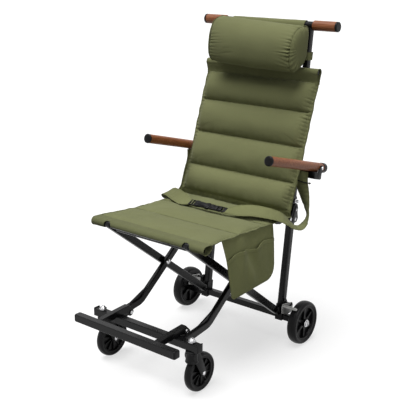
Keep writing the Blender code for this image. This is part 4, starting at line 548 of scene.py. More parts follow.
def fill_out(piece, held, pressure, cap):
    """Fills a sewn piece by cloth simulation, no point by more than cap; held are its seams' points."""
    start = [vert.co.copy() for vert in piece.data.vertices]
    piece.vertex_groups.new(name="sewn").add(held, 1.0, "REPLACE")
    cloth = piece.modifiers.new("filling", "CLOTH")
    cloth.settings.vertex_group_mass = "sewn"
    cloth.settings.use_pressure = True
    cloth.settings.uniform_pressure_force = pressure
    cloth.settings.effector_weights.gravity = 0
    cloth.settings.tension_stiffness = STIFFNESS
    cloth.settings.compression_stiffness = STIFFNESS
    cloth.settings.shear_stiffness = STIFFNESS / 3
    cloth.settings.bending_stiffness = BENDING_STIFFNESS
    cloth.settings.quality = 6
    cloth.point_cache.frame_start = 1
    cloth.point_cache.frame_end = FILL_FRAMES
    for step in range(1, FILL_FRAMES + 1):
        bpy.context.scene.frame_set(step)
    only(piece)
    bpy.ops.object.modifier_apply(modifier="filling")
    bpy.context.scene.frame_set(1)
    for vert, first in zip(piece.data.vertices, start):
        move = vert.co - first
        if move.length > cap:
            vert.co = first + move * (cap / move.length)
    piece.vertex_groups.remove(piece.vertex_groups["sewn"])


def ripple(point, size, seed):
    """Signed cloth ripple at a place, the same on every run."""
    return noise.noise(point / size + Vector((seed, seed * 1.7, seed * 0.3)))


class Seams:
    """Sewn seams of a panel in side view, and the surface between them."""

    def __init__(self, places, flat=()):
        self.places = places
        self.flat = flat
        self.lengths = [math.dist(a, b) for a, b in zip(places, places[1:])]
        self.length = sum(self.lengths)
        self.shares = [0.0]
        for length in self.lengths:
            self.shares.append(self.shares[-1] + length / self.length)

    def at_share(self, share):
        """Place, outward normal, share of its own span, and whether the span is padded."""
        last = len(self.lengths) - 1
        for k, length in enumerate(self.lengths):
            if share <= self.shares[k + 1] + 1e-9 or k == last:
                t = (share - self.shares[k]) * self.length / length
                (ya, za), (yb, zb) = self.places[k], self.places[k + 1]
                dy, dz = (yb - ya) / length, (zb - za) / length
                return ya + (yb - ya) * t, za + (zb - za) * t, dz, -dy, t, k not in self.flat

    def put(self, x, share, out):
        """A place at a share of the panel's length, out from its middle surface."""
        y, z, ny, nz = self.at_share(share)[:4]
        return at(x, y + ny * out, z + nz * out)

    def share_of(self, point):
        """How far along the seams a point lies, from 0 to 1."""
        y, z = point.y - SHIFT, point.z
        best = None
        for k, length in enumerate(self.lengths):
            (ya, za), (yb, zb) = self.places[k], self.places[k + 1]
            dy, dz = (yb - ya) / length, (zb - za) / length
            t = max(0.0, min(length, (y - ya) * dy + (z - za) * dz))
            off = math.hypot(y - ya - dy * t, z - za - dz * t)
            if best is None or off < best[0] - 1e-7:
                best = (off, self.shares[k] + t / self.length)
        return best[1]

    def to_seam(self, share):
        """Distance to the nearest seam."""
        return min(abs(share - k) * self.length for k in self.shares)


def close_rim(piece):
    """Bridges the open edges of a front and a rear layer."""
    edit(piece, "EDGE", "DESELECT")
    bpy.ops.mesh.select_non_manifold()
    bpy.ops.mesh.bridge_edge_loops()
    bpy.ops.mesh.select_all(action="SELECT")
    bpy.ops.mesh.normals_make_consistent(inside=False)
    bpy.ops.mesh.select_mode(type="VERT")
    leave()


def gathers(along, seed):
    """Uneven gathers along an edge: full folds between sharp creases, about 0 on average."""
    bend = 1.3 * ripple(Vector((along, seed, 0)), 0.040, seed)
    fold = abs(math.sin(math.pi * along / GATHER + bend)) ** 0.75
    return (fold - 0.62) * (0.75 + 1.1 * ripple(Vector((along, seed, 5)), 0.022, seed + 3))


def edge_wander(way, along, seed):
    """How far a sewn side edge wanders outwards from its straight line."""
    return ripple(Vector((way, along, seed)), 0.028, seed) * 0.0030


def stuffed_panel(name, seams, half, inner, size, puffs, layer=0.0016):
    """Two cloth layers sewn along the seams and the side bands; puffs are the front and rear fullness."""
    columns, rows = size

    def fullness(x, share):
        t, padded = seams.at_share(share)[4:]
        inside = max(0.0, min(1.0, (inner - abs(x)) / 0.022))
        return (max(0.0, math.sin(math.pi * t ** 1.16)) ** 0.5) * inside ** 0.5 if padded else 0.0

    layers = []
    for way, puff in ((1, puffs[0]), (-1, puffs[1])):

        def place(u, v):
            share = 1 - v
            nearest = min(seams.shares, key=lambda k: abs(k - share))
            share = nearest if abs(nearest - share) < 0.5 / rows else share
            t = u * 2 - 1
            x = half * (0.55 * math.sin(t * math.pi / 2) + 0.45 * t)
            return seams.put(x, share, way * (layer + puff * fullness(x, share)))

        sheet = cloth_grid(name, columns, rows, place)
        if way < 0:
            edit(sheet)
            bpy.ops.mesh.flip_normals()
            leave()
        layers.append(sheet)
    panel = joined(layers)
    close_rim(panel)
    return panel


def fill_panel(panel, seams, inner, pressure, cap):
    """Fills a panel between its seams and inside its side bands."""
    held = []
    for vert in panel.data.vertices:
        if seams.to_seam(seams.share_of(vert.co)) < SEAM_GRIP or abs(vert.co.x) > inner:
            held.append(vert.index)
    fill_out(panel, held, pressure, cap)


def crease_panel(panel, seams, inner, seam_pucker, end_pucker, broad_wave, seed):
    """Puckers the cloth beside the seams and at the side bands, with broad soft waves between."""
    for vert in panel.data.vertices:
        share = seams.share_of(vert.co)
        y, z, ny, nz = seams.at_share(share)[:4]
        x = vert.co.x
        way = math.copysign(1, x)
        side = 1 if (vert.co.y - SHIFT - y) * ny + (vert.co.z - z) * nz >= 0 else -1
        along = share * seams.length
        near = seams.to_seam(share)
        gather = math.exp(-near / 0.011) * (1 - math.exp(-near / 0.0022))
        move = ripple(Vector((x, along * 0.25, side)), 0.013, seed) * seam_pucker * gather
        move -= 0.0010 * math.exp(-(near / 0.0035) ** 2)
        end = inner - abs(x)
        if end > 0:
            reach = 0.0058 * (1 + 1.3 * ripple(Vector((way * 2, along, seed)), 0.015, seed))
            tuck = math.exp(-end / max(0.003, reach)) * (1 - math.exp(-end / 0.0025))
            tuck *= 0.50 + 0.9 * math.exp(-near / 0.018)
            move += gathers(along + end * 0.12 * way, seed + way) * end_pucker * tuck
            corner = math.exp(-near / 0.014) * math.exp(-end / 0.030) * (1 - math.exp(-end / 0.004))
            move -= abs(math.sin((end - near * 1.5) * 190)) * 0.0022 * corner
            wave = ripple(Vector((x, along * 1.4, side)), 0.085, seed + 9)
            move += wave * broad_wave * min(1.0, near / 0.02)
            wave = ripple(Vector((x * 0.6, along, side)), 0.030, seed + 2)
            move += wave * broad_wave * 0.35 * min(1.0, near / 0.01)
        else:
            move = gathers(along, seed + way) * 0.0022 * (side > 0)
            vert.co.x += edge_wander(way, along, seed) * min(1.0, -end / 0.006)
            side = 1
        vert.co += Vector((0, ny, nz)) * (move * side)


def round_off(piece):
    """Halves the mesh's faces once with soft edges between them."""
    finer = piece.modifiers.new("soft", "SUBSURF")
    finer.levels = finer.render_levels = 1
    apply_all(piece)


def panel_cord(seams, x, seed, out=0.0):
    """A cord down the panel at x, with the small wander of a sewn edge."""
    points = []
    way = math.copysign(1, x)
    for k in range(161):
        share = k / 160
        along = share * seams.length
        lift = ripple(Vector((way * 3, along, seed)), 0.024, seed + 3) * 0.0024
        points.append(seams.put(x + edge_wander(way, along, seed), share, out + lift))
    return piped(points, CORD)


def seam_rows(seams, half, out, radius=STITCH, sewn=0.62):
    """Stitches along the seams between a panel's sections."""
    rows = []
    for share in seams.shares[1:-1]:

        def seam(t):
            return seams.put((t * 2 - 1) * (half - 0.008), share, out)

        rows.append(stitch_row(seam, 112, radius, sewn))
    return rows


COVER_HALF = 0.2265
CHANNEL_HALF = 0.2180
COVER_SEED = 3.1
COVER = Seams(((0.2835, 0.8820), (0.2490, 0.7870), (0.2140, 0.6780), (0.1740, 0.5670), (0.1405, 0.4830),
               (0.1450, 0.4645)), flat=(4,))
SLEEVE = (0.2846, 0.9140)
SLEEVE_RADIUS = 0.0112
# In the chair the cover stays at the seat with the carriage and folds forward with the back frame; these
# bodies and points are not used for a bend
COVER_BEND = ("mast_carriage", "back_frame", at(0, 0.1440, 0.4685), at(0, 0.2600, 0.8200))


def add_back_cover():
    """Four stuffed channels between sewn seams, a flat bound edge, and the sleeve on its bar."""
    cover = stuffed_panel("back_cover", COVER, COVER_HALF, CHANNEL_HALF, (74, 126), (0.0230, 0.0075))
    fill_panel(cover, COVER, CHANNEL_HALF, 5.0, 0.008)
    round_off(cover)
    crease_panel(cover, COVER, CHANNEL_HALF, 0.0050, 0.0105, 0.0020, COVER_SEED)
    done(cover, "back_cover_padding", "canvas_back", COVER_BEND, ["back_cover"], angle=60)
    add_cover_edges()
    add_cover_sleeve()


def add_cover_edges():
    """Bound edges down both sides and along the foot, and the stitch line beside each."""
    cords = [panel_cord(COVER, way * (COVER_HALF + 0.0002), COVER_SEED) for way in (-1, 1)]
    foot = [COVER.put((k / 60 * 2 - 1) * (COVER_HALF - 0.002), 1.0, 0.0) for k in range(61)]
    cords.append(piped(foot, 0.0022))
    edge = joined(cords)
    done(edge, "back_cover_binding", "binding", COVER_BEND)
    rows = []
    for way in (-1, 1):

        def line(t):
            lift = ripple(Vector((0.3, t * COVER.length, 0)), 0.02, 8.1) * 0.0012
            return COVER.put(way * (COVER_HALF - 0.0068), t, 0.0021 + lift)

        rows.append(stitch_row(line, 110))
    thread = joined(rows + seam_rows(COVER, COVER_HALF, 0.0019))
    done(thread, "back_cover_stitching", "thread", COVER_BEND)


def path_place(path):
    """Place along a side-view path by share of its length."""
    lengths = [0.0]
    for a, b in zip(path, path[1:]):
        lengths.append(lengths[-1] + math.dist(a, b))

    def place(share):
        run = share * lengths[-1]
        k = min(max(i for i in range(len(lengths)) if lengths[i] <= run + 1e-9), len(path) - 2)
        t = (run - lengths[k]) / (lengths[k + 1] - lengths[k])
        (ya, za), (yb, zb) = path[k], path[k + 1]
        return ya + (yb - ya) * t, za + (zb - za) * t

    return place, lengths[-1]


def round_bar(centre, radius, start, end, steps):
    """Side-view points round a bar between two angles in degrees."""
    points = []
    for k in range(steps + 1):
        angle = math.radians(start + (end - start) * k / steps)
        points.append((centre[0] + radius * math.cos(angle), centre[1] + radius * math.sin(angle)))
    return points


def add_cover_sleeve():
    """The cloth tube that carries the cover on its bar, open at both ends."""
    seam_y, seam_z = COVER.places[0]
    path = [(seam_y + 0.0024, seam_z - 0.0080), (seam_y + 0.0042, seam_z + 0.0060)]
    path += round_bar(SLEEVE, SLEEVE_RADIUS, -8, 188, 12)
    path += [(seam_y - 0.0022, seam_z + 0.0050), (seam_y - 0.0030, seam_z - 0.0080)]
    place_on, length = path_place(path)

    def place(u, v):
        y, z = place_on(v)
        x = (u * 2 - 1) * COVER_HALF
        low = max(0.0, 1 - (z - seam_z) / 0.034)
        fold = abs(ripple(Vector((x, 0, 0)), 0.015, 6.0)) * 0.0030 * low
        fold += abs(ripple(Vector((x, v, 0)), 0.05, 9.0)) * 0.0016
        mouth = math.exp(-(COVER_HALF - abs(x)) / 0.006) * 0.0014
        push = (fold + mouth) * (-1 if v > 0.5 else 0.4)
        return at(x, y + push, z + mouth * (0.5 if z > SLEEVE[1] else 0))

    sleeve = cloth_grid("sleeve", 150, 40, place)
    thicken(sleeve)
    done(sleeve, "back_cover_sleeve", "canvas_back", "back_frame", angle=60)
    rims = [piped([place(u, k / 60) for k in range(61)], 0.0012) for u in (0.5 - 0.499, 0.5 + 0.499)]
    done(joined(rims), "back_cover_sleeve_hem", "binding", "back_frame")


PILLOW_HALF = 0.1650
# The pillow's end section in side view, a drooping D with its flat side to the posts
PILLOW_SECTION = ((0.3020, 1.0440), (0.3005, 1.0180), (0.2970, 0.9850), (0.2925, 0.9580), (0.2760, 0.9380),
                  (0.2380, 0.9220), (0.2150, 0.9190), (0.2020, 0.9340), (0.1975, 0.9600), (0.1990, 0.9880),
                  (0.2070, 1.0160), (0.2240, 1.0400), (0.2460, 1.0530), (0.2720, 1.0570), (0.2920, 1.0550))
PILLOW_MIDDLE = Vector((0.2470, 0.9880))
PILLOW_AROUND = 208
PLEATS = 28


def closed_curve(controls, count):
    """Evenly spaced points on a smooth closed curve through the controls."""
    fine = []
    total = len(controls)
    for k in range(total):
        p0, p1, p2, p3 = (Vector(controls[(k + step) % total]) for step in (-1, 0, 1, 2))
        for step in range(20):
            t = step / 20
            fine.append(0.5 * (2 * p1 + (p2 - p0) * t + (2 * p0 - 5 * p1 + 4 * p2 - p3) * t * t
                               + (3 * p1 - p0 - 3 * p2 + p3) * t ** 3))
    runs = [0.0]
    for a, b in zip(fine, fine[1:] + fine[:1]):
        runs.append(runs[-1] + (b - a).length)
    points, k = [], 0
    for step in range(count):
        goal = runs[-1] * step / count
        while runs[k + 1] < goal:
            k += 1
        t = (goal - runs[k]) / (runs[k + 1] - runs[k])
        points.append(fine[k].lerp(fine[(k + 1) % len(fine)], t))
    return points


def pillow_swell(point, amount):
    """Moves a side-view point of the section out from its middle, less so on the flat back."""
    away = point - PILLOW_MIDDLE
    back = max(0.0, away.x) / 0.05
    return point + away.normalized() * (amount * (1 - 0.85 * min(1.0, back)))


def pillow_droop(point, share):
    """The section is a little smaller at the viewer's left end."""
    scale = 0.960 + 0.040 * share
    rise = 0.0170 * ((1 - share) / 2) ** 2 * max(0.0, min(1.0, (point.y - 0.9900) / 0.0500))
    return Vector((0.3000 + (point.x - 0.3000) * scale, 1.0500 + (point.y - 1.0500) * scale + rise))


def pleat(turn, share, end):
    """Uneven gathers round an end seam: full folds between sharp creases."""
    bend = 2.0 * ripple(Vector((turn * 9, math.copysign(2, share), 0)), 1.0, 2.0) + end * 14
    fold = abs(math.sin(math.pi * PLEATS * turn + bend)) ** 0.75
    uneven = ripple(Vector((turn * 14, math.copysign(3, share), 0)), 1.0, 6.0)
    depth = max(0.0, 0.0135 * (0.80 + 1.5 * uneven))
    return (fold - 0.62) * depth * (1.0 if share > 0 else 0.45)


def gather_pillow(pillow):
    """Works the gathers into the cloth on both sides of each end seam."""
    middle = at(0, *PILLOW_MIDDLE)
    for vert in pillow.data.vertices:
        way = math.copysign(1, vert.co.x)
        end = PILLOW_HALF - abs(vert.co.x)
        away = Vector((0, vert.co.y - middle.y, vert.co.z - middle.z))
        turn = math.atan2(away.z, away.y) / (2 * math.pi)
        front = max(0.0, min(1.0, (0.035 - away.y) / 0.03))
        reach = 0.0130 * (1 + 1.4 * ripple(Vector((turn * 15, way, 0)), 1.0, 8.0))
        if end >= 0:
            fade = math.exp(-end / max(0.005, reach)) * (1 - math.exp(-end / 0.0025))
            groove = 0.0042 * math.exp(-(end / 0.0036) ** 2)
            vert.co += away.normalized() * ((pleat(turn, way, end) * fade - groove) * front)
        else:
            inwards = 1 - min(1.0, away.length / 0.065)
            fade = math.exp(-inwards / 0.20) * (1 - math.exp(end / 0.0030))
            vert.co.x += way * pleat(turn, way, -end) * 0.70 * fade * front


def add_pillow():
    """Stuffed bolster with gathered end seams, and a D-shaped end panel each side."""
    section = closed_curve(PILLOW_SECTION, PILLOW_AROUND)

    def place(u, v):
        span = u * 2 - 1
        share = 0.7 * math.sin(span * math.pi / 2) + 0.3 * span
        base = section[int(round(v * PILLOW_AROUND)) % PILLOW_AROUND]
        end = PILLOW_HALF * (1 - abs(share))
        swell = 0.0045 * (1 - math.exp(-end / 0.025)) + 0.0020 * (1 - share * share)
        swell += ripple(Vector((share * 0.16, v * 0.42, 0)), 0.060, 4.0) * 0.0024
        point = pillow_swell(pillow_droop(base, share), swell)
        return at(share * PILLOW_HALF, point.x, point.y)

    pillow = cloth_grid("pillow", 64, PILLOW_AROUND, place)
    tidy_normals(pillow)
    add_pillow_ends(pillow)
    held = [v.index for v in pillow.data.vertices if abs(abs(v.co.x) - PILLOW_HALF) < 0.0012]
    fill_out(pillow, held, 2.5, 0.004)
    round_off(pillow)
    gather_pillow(pillow)
    keep_off_posts(pillow)
    done(pillow, "head_pillow_cover", "canvas_back", "back_frame", ["head_pillow"], angle=70)
    add_pillow_seams(section)


def add_pillow_seams(section):
    """Piping behind each end seam, and the stitches in front of it."""
    cords, threads = [], []
    for way in (-1, 1):
        ring = [pillow_swell(pillow_droop(base, way), 0.0012) for base in section]
        rear = [at(way * (PILLOW_HALF + 0.0010), p.x, p.y) for p in ring[-18:] + ring[:92]]
        cords.append(piped(rear, 0.0019))
        front = [at(way * (PILLOW_HALF + 0.0002), *pillow_swell(p, -0.0020)) for p in ring[86:-14]]

        def seam(t):
            k = t * (len(front) - 1.001)
            return front[int(k)].lerp(front[int(k) + 1], k - int(k))

        threads.append(stitch_row(seam, 46, 0.0006, 0.8))
    done(joined(cords), "head_pillow_piping", "canvas_back", "back_frame")
    done(joined(threads), "head_pillow_stitching", "thread", "back_frame")


def add_pillow_ends(pillow):
    """Fills both ends with panels that swell outwards from the gathered seam."""
    middle = at(0, *PILLOW_MIDDLE)
    for way in (-1, 1):
        edit(pillow, chosen="DESELECT")
        leave()
        for vert in pillow.data.vertices:
            vert.select = abs(vert.co.x - way * PILLOW_HALF) < 0.0004
        bpy.ops.object.mode_set(mode="EDIT")
        for share, out in ((0.955, 0.0040), (0.93, 0.0036), (0.90, 0.0028), (0.86, 0.0022), (0.78, 0.0018),
                           (0.65, 0.0012), (0.45, 0.0006)):
            bpy.ops.mesh.extrude_region_move(TRANSFORM_OT_translate={"value": (way * out, 0, 0)})
            bpy.ops.transform.resize(value=(1, share, share), center_override=middle)
        bpy.ops.mesh.merge(type="CENTER")
        leave()
    tidy_normals(pillow)


def keep_off_posts(pillow):
    """Nothing of the pillow goes behind the posts' front faces."""
    for vert in pillow.data.vertices:
        limit = post_y(vert.co.z) + SHIFT - 0.0112
        vert.co.y = min(vert.co.y, limit)


def add_post_tabs():
    """Short cloth tabs round the posts that hold the pillow's foot."""
    half, foot, tall = 0.0117, 0.9480, 0.0250
    tabs = []
    for way in (-1, 1):
        outline = []
        for k in range(40):
            angle = 2 * math.pi * (k + 0.5) / 40
            c, t = math.cos(angle), math.sin(angle)
            outline.append((half * math.copysign(abs(c) ** 0.35, c), half * math.copysign(abs(t) ** 0.35, t)))

        def place(u, v):
            x, y = outline[int(round(u * 40)) % 40]
            z = foot + tall * v
            loose = 1 + 0.10 * math.sin(math.pi * v) * ripple(Vector((u * 4, v, way)), 0.4, 3.0)
            if x * way > 0:
                loose += 0.16
            return at(way * POST_X + x * loose, post_y(z) + y * (1 + 0.06 * v), z)

        tab = cloth_grid("tab", 40, 10, place)
        tidy_normals(tab, 0.0001)
        thicken(tab, CLOTH, 1.0)
        tabs.append(tab)
    done(joined(tabs), "pillow_post_tabs", "canvas_back", "back_frame", angle=60)


SEAT_HALF = 0.2280
SEAT_INNER = 0.2215
SEAT_SEED = 12.7
SEAT = Seams(((0.1480, 0.4608), (0.0220, 0.4618), (-0.1190, 0.4664), (-0.2700, 0.4757)))
FRONT_TUBE = (-0.2920, 0.4648)
REAR_TUBE = (0.1830, 0.4487)
HEM_RADIUS = 0.0114
BRACE_X = 0.1589
BRACE_ROOM = 0.0105
# Share of the hem's path at which it ends between the braces, half way down the tube
HEM_SHORT = 0.505
SEAT_BEND = ("brace_frame", "leg_frame", at(0, -0.2500, 0.4700), at(0, 0.1300, 0.4600))


def waist(y):
    """How far the seat's side edges draw in between the front hem and the rear corners."""
    share = max(0.0, min(1.0, (y + 0.2720) / 0.4200))
    return 1 - 0.052 * math.sin(math.pi * share ** 0.8) ** 0.7


def drawn_in(piece):
    """Draws a piece's sides in as the seat's are."""
    for vert in piece.data.vertices:
        vert.co.x *= waist(vert.co.y - SHIFT)
    return piece


def add_seat():
    """Softly padded panel in three sections, its sleeves on the front and rear tubes, and bound edges."""
    panel = stuffed_panel("seat", SEAT, SEAT_HALF, SEAT_INNER, (74, 96), (0.0075, 0.0020), 0.0014)
    fill_panel(panel, SEAT, SEAT_INNER, 2.5, 0.004)
    round_off(panel)
    crease_panel(panel, SEAT, SEAT_INNER, 0.0030, 0.0048, 0.0042, SEAT_SEED)
    drawn_in(panel)
    done(panel, "seat_panel", "canvas_seat", SEAT_BEND, ["seat"], angle=60)
    add_front_hem()
    add_rear_hem()
    cords = [panel_cord(SEAT, way * (SEAT_HALF - 0.0004), SEAT_SEED, 0.0006) for way in (-1, 1)]
    done(drawn_in(joined(cords)), "seat_binding", "canvas_seat", SEAT_BEND)
    rows = []
    for way in (-1, 1):

        def line(t):
            return SEAT.put(way * (SEAT_HALF - 0.0062), t, 0.0022)

        rows.append(stitch_row(line, 96))
    rows += seam_rows(SEAT, SEAT_HALF, 0.0017, 0.0005, 0.8)
    done(drawn_in(joined(rows)), "seat_stitching", "thread", SEAT_BEND)


def hem_cut(x, v):
    """Above 0 where the front hem is cut away, in a brace's scallop or below its end between them."""
    across = abs(abs(x) - BRACE_X) / (BRACE_ROOM * 1.25)
    down = (v - 0.34) / 0.14
    short = v - HEM_SHORT if abs(x) < BRACE_X else -1.0
    return max(down - across ** 4, short)


def add_front_hem():
    """Sleeve on the front tube, scalloped round the braces' heads, its ends open."""
    path = [(-0.2640, 0.4768), (-0.2780, 0.4771)]
    path += round_bar(FRONT_TUBE, HEM_RADIUS, 88, 285, 20)
    path += [(-0.2800, 0.4545), (-0.2720, 0.4590), (-0.2650, 0.4670), (-0.2620, 0.4720)]
    place_on, length = path_place(path)
    columns, rows = 190, 44

    def place(u, v):
        y, z = place_on(v)
        x = (u * 2 - 1) * SEAT_HALF
        end = SEAT_HALF - abs(x)
        mouth = math.exp(-end / 0.010)
        near = math.exp(-(abs(abs(x) - BRACE_X) / 0.016) ** 2)
        fold = ripple(Vector((x, 0, 0)), 0.022, 6.3) * 0.0016 * math.sin(math.pi * v)
        fold += 0.0024 * near * math.sin(math.pi * min(1.0, v / 0.6)) ** 2
        swell = fold + 0.0030 * mouth * math.sin(math.pi * min(1.0, v * 1.2)) + 0.0004
        away = Vector((y - FRONT_TUBE[0], z - FRONT_TUBE[1])).normalized()
        return at(x, y + away.x * swell, z + away.y * swell)

    hem = cloth_grid("front_hem", columns, rows, place)
    edit(hem, "FACE", "DESELECT")
    leave()
    for face in hem.data.polygons:
        u = sum((k % (columns + 1)) / columns for k in face.vertices) / 4
        v = sum((k // (columns + 1)) / rows for k in face.vertices) / 4
        face.select = hem_cut((u * 2 - 1) * SEAT_HALF, v) > 0
    bpy.ops.object.mode_set(mode="EDIT")
    bpy.ops.mesh.delete(type="FACE")
    bpy.ops.mesh.select_mode(type="VERT")
    bpy.ops.mesh.select_all(action="DESELECT")
    bpy.ops.mesh.select_non_manifold()
    bpy.ops.mesh.vertices_smooth(factor=0.5, repeat=3)
    leave()
    thicken(hem, SEAT_CLOTH)
    round_off(hem)
    # The hem takes the darker canvas, painted shade
    done(hem, "seat_front_hem", "canvas_hem_painted_shade", "brace_frame", angle=60)


def add_front_tube():
    """The open round tube inside the front hem."""
    reach, outer, inner = 0.2150, 0.0100, 0.0085
    profile = rounded([(-reach, inner), (-reach, outer), (reach, outer), (reach, inner)], 0.0006)
    tube = turned_x(profile, at(0, *FRONT_TUBE), 1, 40, closed=True)
    done(tube, "front_tube_shell", "frame_black", "brace_frame", ["front_seat_tube"])


def add_rear_hem():
    """The narrower tail of the seat and its sleeve on the rear tube."""
    half = 0.1330
    path = [(0.1380, 0.4600), (0.1700, 0.4606)]
    path += round_bar(REAR_TUBE, HEM_RADIUS, 92, -110, 16)
    place_on, length = path_place(path)

    def place(u, v):
        y, z = place_on(v)
        return at((u * 2 - 1) * half, y, z)

    hem = cloth_grid("rear_hem", 80, 34, place)
    thicken(hem, SEAT_CLOTH)
    done(hem, "seat_rear_hem", "canvas_seat", "leg_frame", angle=60)


# The seat's line in side view that the pocket's wall hangs from, and the pocket's outline
SEAT_LINE = ((-0.2780, 0.4762), (-0.1190, 0.4664), (0.0220, 0.4618), (0.1480, 0.4608))
WALL_X = 0.2205
POCKET_ENDS = (-0.1595, 0.0595)
POCKET_FRONT = ((0.2690, -0.1570), (0.4060, -0.1880), (0.4720, -0.2070))
POCKET_REAR = ((0.2740, 0.0600), (0.3240, 0.0650), (0.4600, 0.0550))
POCKET_FOOT = ((-0.1700, 0.2690), (-0.0460, 0.2740), (0.0600, 0.2780))
POCKET_MOUTH = ((-0.1880, 0.4020), (-0.1560, 0.4150), (-0.1310, 0.4180), (-0.0540, 0.4080), (-0.0220, 0.4150),
                (-0.0070, 0.4200), (0.0600, 0.4120))


def along_points(points, key):
    """Straight-line value of the second number of the points at a value of the first."""
    for (a, va), (b, vb) in zip(points, points[1:]):
        if key <= b or (b, vb) == points[-1]:
            t = max(0.0, min(1.0, (key - a) / (b - a)))
            return va + (vb - va) * t


def pocket_foot(y):
    """Height of the pocket's foot, rounded up to both side edges."""
    z = along_points(POCKET_FOOT, y)
    rear, front = 0.0600 - y, y + 0.1600
    for room, radius in ((rear, 0.034), (front, 0.012)):
        if room < radius:
            z += radius - math.sqrt(max(0.0, radius ** 2 - (radius - room) ** 2))
    return z


def pocket_sheet(name, top, out, rows):
    """A layer of the pocket from its foot up to the line top(y), with its distance outwards."""

    def place(u, v):
        y_low = POCKET_ENDS[0] + u * (POCKET_ENDS[1] - POCKET_ENDS[0])
        low = pocket_foot(y_low)
        front = along_points(POCKET_FRONT, low + (top(y_low) - low) * v)
        rear = along_points(POCKET_REAR, low + (top(y_low) - low) * v)
        y = front + (rear - front) * u
        z = low + (top(y) - low) * v
        hang = (SEAT_HALF * waist(y) - 0.0035 - WALL_X) * max(0.0, (z - 0.3900) / 0.0700) ** 1.5
        return at(WALL_X + hang + out(u, v, y, z), y, z)

    return cloth_grid(name, 74, rows, place), place


def seat_line(y):
    """Height at y of the line under the seat's edge that the pocket is sewn to."""
    return along_points(SEAT_LINE, y) - 0.0022


def pocket_mouth(y):
    return along_points(POCKET_MOUTH, y)


def wall_out(u, v, y, z):
    """How far the folds of the pocket's back wall stand out."""
    fold = ripple(Vector((y, z * 0.35, 0)), 0.034, 5.0) * 0.0070
    return fold * math.sin(math.pi * u) * math.sin(math.pi * min(1.0, v * 1.02)) ** 0.7


def front_out(u, v, y, z):
    """How far the pocket's bulging front stands out."""
    across = math.sin(math.pi * u)
    belly = (across ** 0.55) * (math.sin(math.pi / 2 * min(1.0, v * 1.25 + 0.001)) ** 0.7)
    fold = ripple(Vector((y + z * 0.25, z * 0.3, 0)), 0.034, 9.0) * 0.0130 * across * v ** 0.5
    fold += ripple(Vector((y, z, 0)), 0.075, 2.0) * 0.0030 * across
    return max(0.0022, 0.0026 + 0.0085 * belly + fold)


def add_pocket():
    """Back wall sewn under the seat's edge, and a bulging front with a hemmed mouth."""
    # The pocket's wall and front take the lighter canvas, painted light
    wall, wall_place = pocket_sheet("pocket_wall", seat_line, wall_out, 66)
    thicken(wall)
    done(wall, "side_pocket_wall", "canvas_side_painted_light", "brace_frame", ["side_pocket"], angle=60)
    front, front_place = pocket_sheet("pocket_front", pocket_mouth, front_out, 60)
    thicken(front)
    done(front, "side_pocket_front", "canvas_side_painted_light", "brace_frame", angle=60)
    add_pocket_trim(wall_place, front_place)


def add_pocket_trim(wall_place, front_place):
    """The mouth's hem, the bound edges, and the stitches of the pocket."""

    def hem(u, v):
        return front_place(u, 1.0 - 0.085 * (1 - v)) + Vector((0.0011, 0, 0.0004))

    band = cloth_grid("mouth_hem", 74, 6, hem)
    thicken(band, 0.0011)
    cords = [piped([front_place(k / 80, 1.0) + Vector((0.0006, 0, 0)) for k in range(81)], 0.0014)]
    edges = ([wall_place(0.0, k / 50) for k in range(51)], [wall_place(1.0, k / 50) for k in range(51)],
             [wall_place(k / 60, 0.0) for k in range(61)])
    for edge in edges:
        cords.append(piped([point + Vector((0.0012, 0, 0)) for point in edge], 0.0016))
    # The pocket's trim takes the same lighter canvas, painted light
    done(joined([band] + cords), "side_pocket_trim", "canvas_side_painted_light", "brace_frame", angle=60)

    def mouth_row(t):
        return front_place(0.02 + 0.96 * t, 0.922) + Vector((0.0018, 0, 0))

    def foot_row(t):
        return front_place(0.02 + 0.96 * t, 0.035) + Vector((0.0009, 0, 0))

    def rear_row(t):
        return wall_place(0.972, 0.03 + 0.95 * t) + Vector((0.0035 if t < 0.68 else 0.0009, 0, 0))

    rows = [stitch_row(mouth_row, 60), stitch_row(foot_row, 60), stitch_row(rear_row, 46)]
    done(joined(rows), "side_pocket_stitching", "thread", "brace_frame")


def add_pillow_flap():
    """Cloth from the pillow's top edge over the bar and down behind it."""
    bar_z, wrap, left, right = 1.0578, 0.0138, 0.1440, 0.1470
    path = [(-0.0215, -0.0150), (-0.0165, -0.0070)]
    path += round_bar((0, 0), wrap, 172, -5, 11)
    path += [(0.0140, -0.012), (0.0125, -0.026), (0.0105, -0.040)]
    place_on, length = path_place(path)

    def place(u, v):
        y, z = place_on(v)
        x = -left + u * (right + left)
        lift = abs(ripple(Vector((x, y, z)), 0.03, 8.0)) * 0.0010
        return at(x, post_y(bar_z) + y, bar_z + z + lift)

    flap = cloth_grid("flap", 70, 28, place)
    thicken(flap, CLOTH, 1.0)
    done(flap, "head_pillow_flap", "canvas_back", "back_frame", angle=60)


MM = 0.001
BUCKLE = (0.0050, 0.4858)
BUCKLE_TILT = math.radians(24)
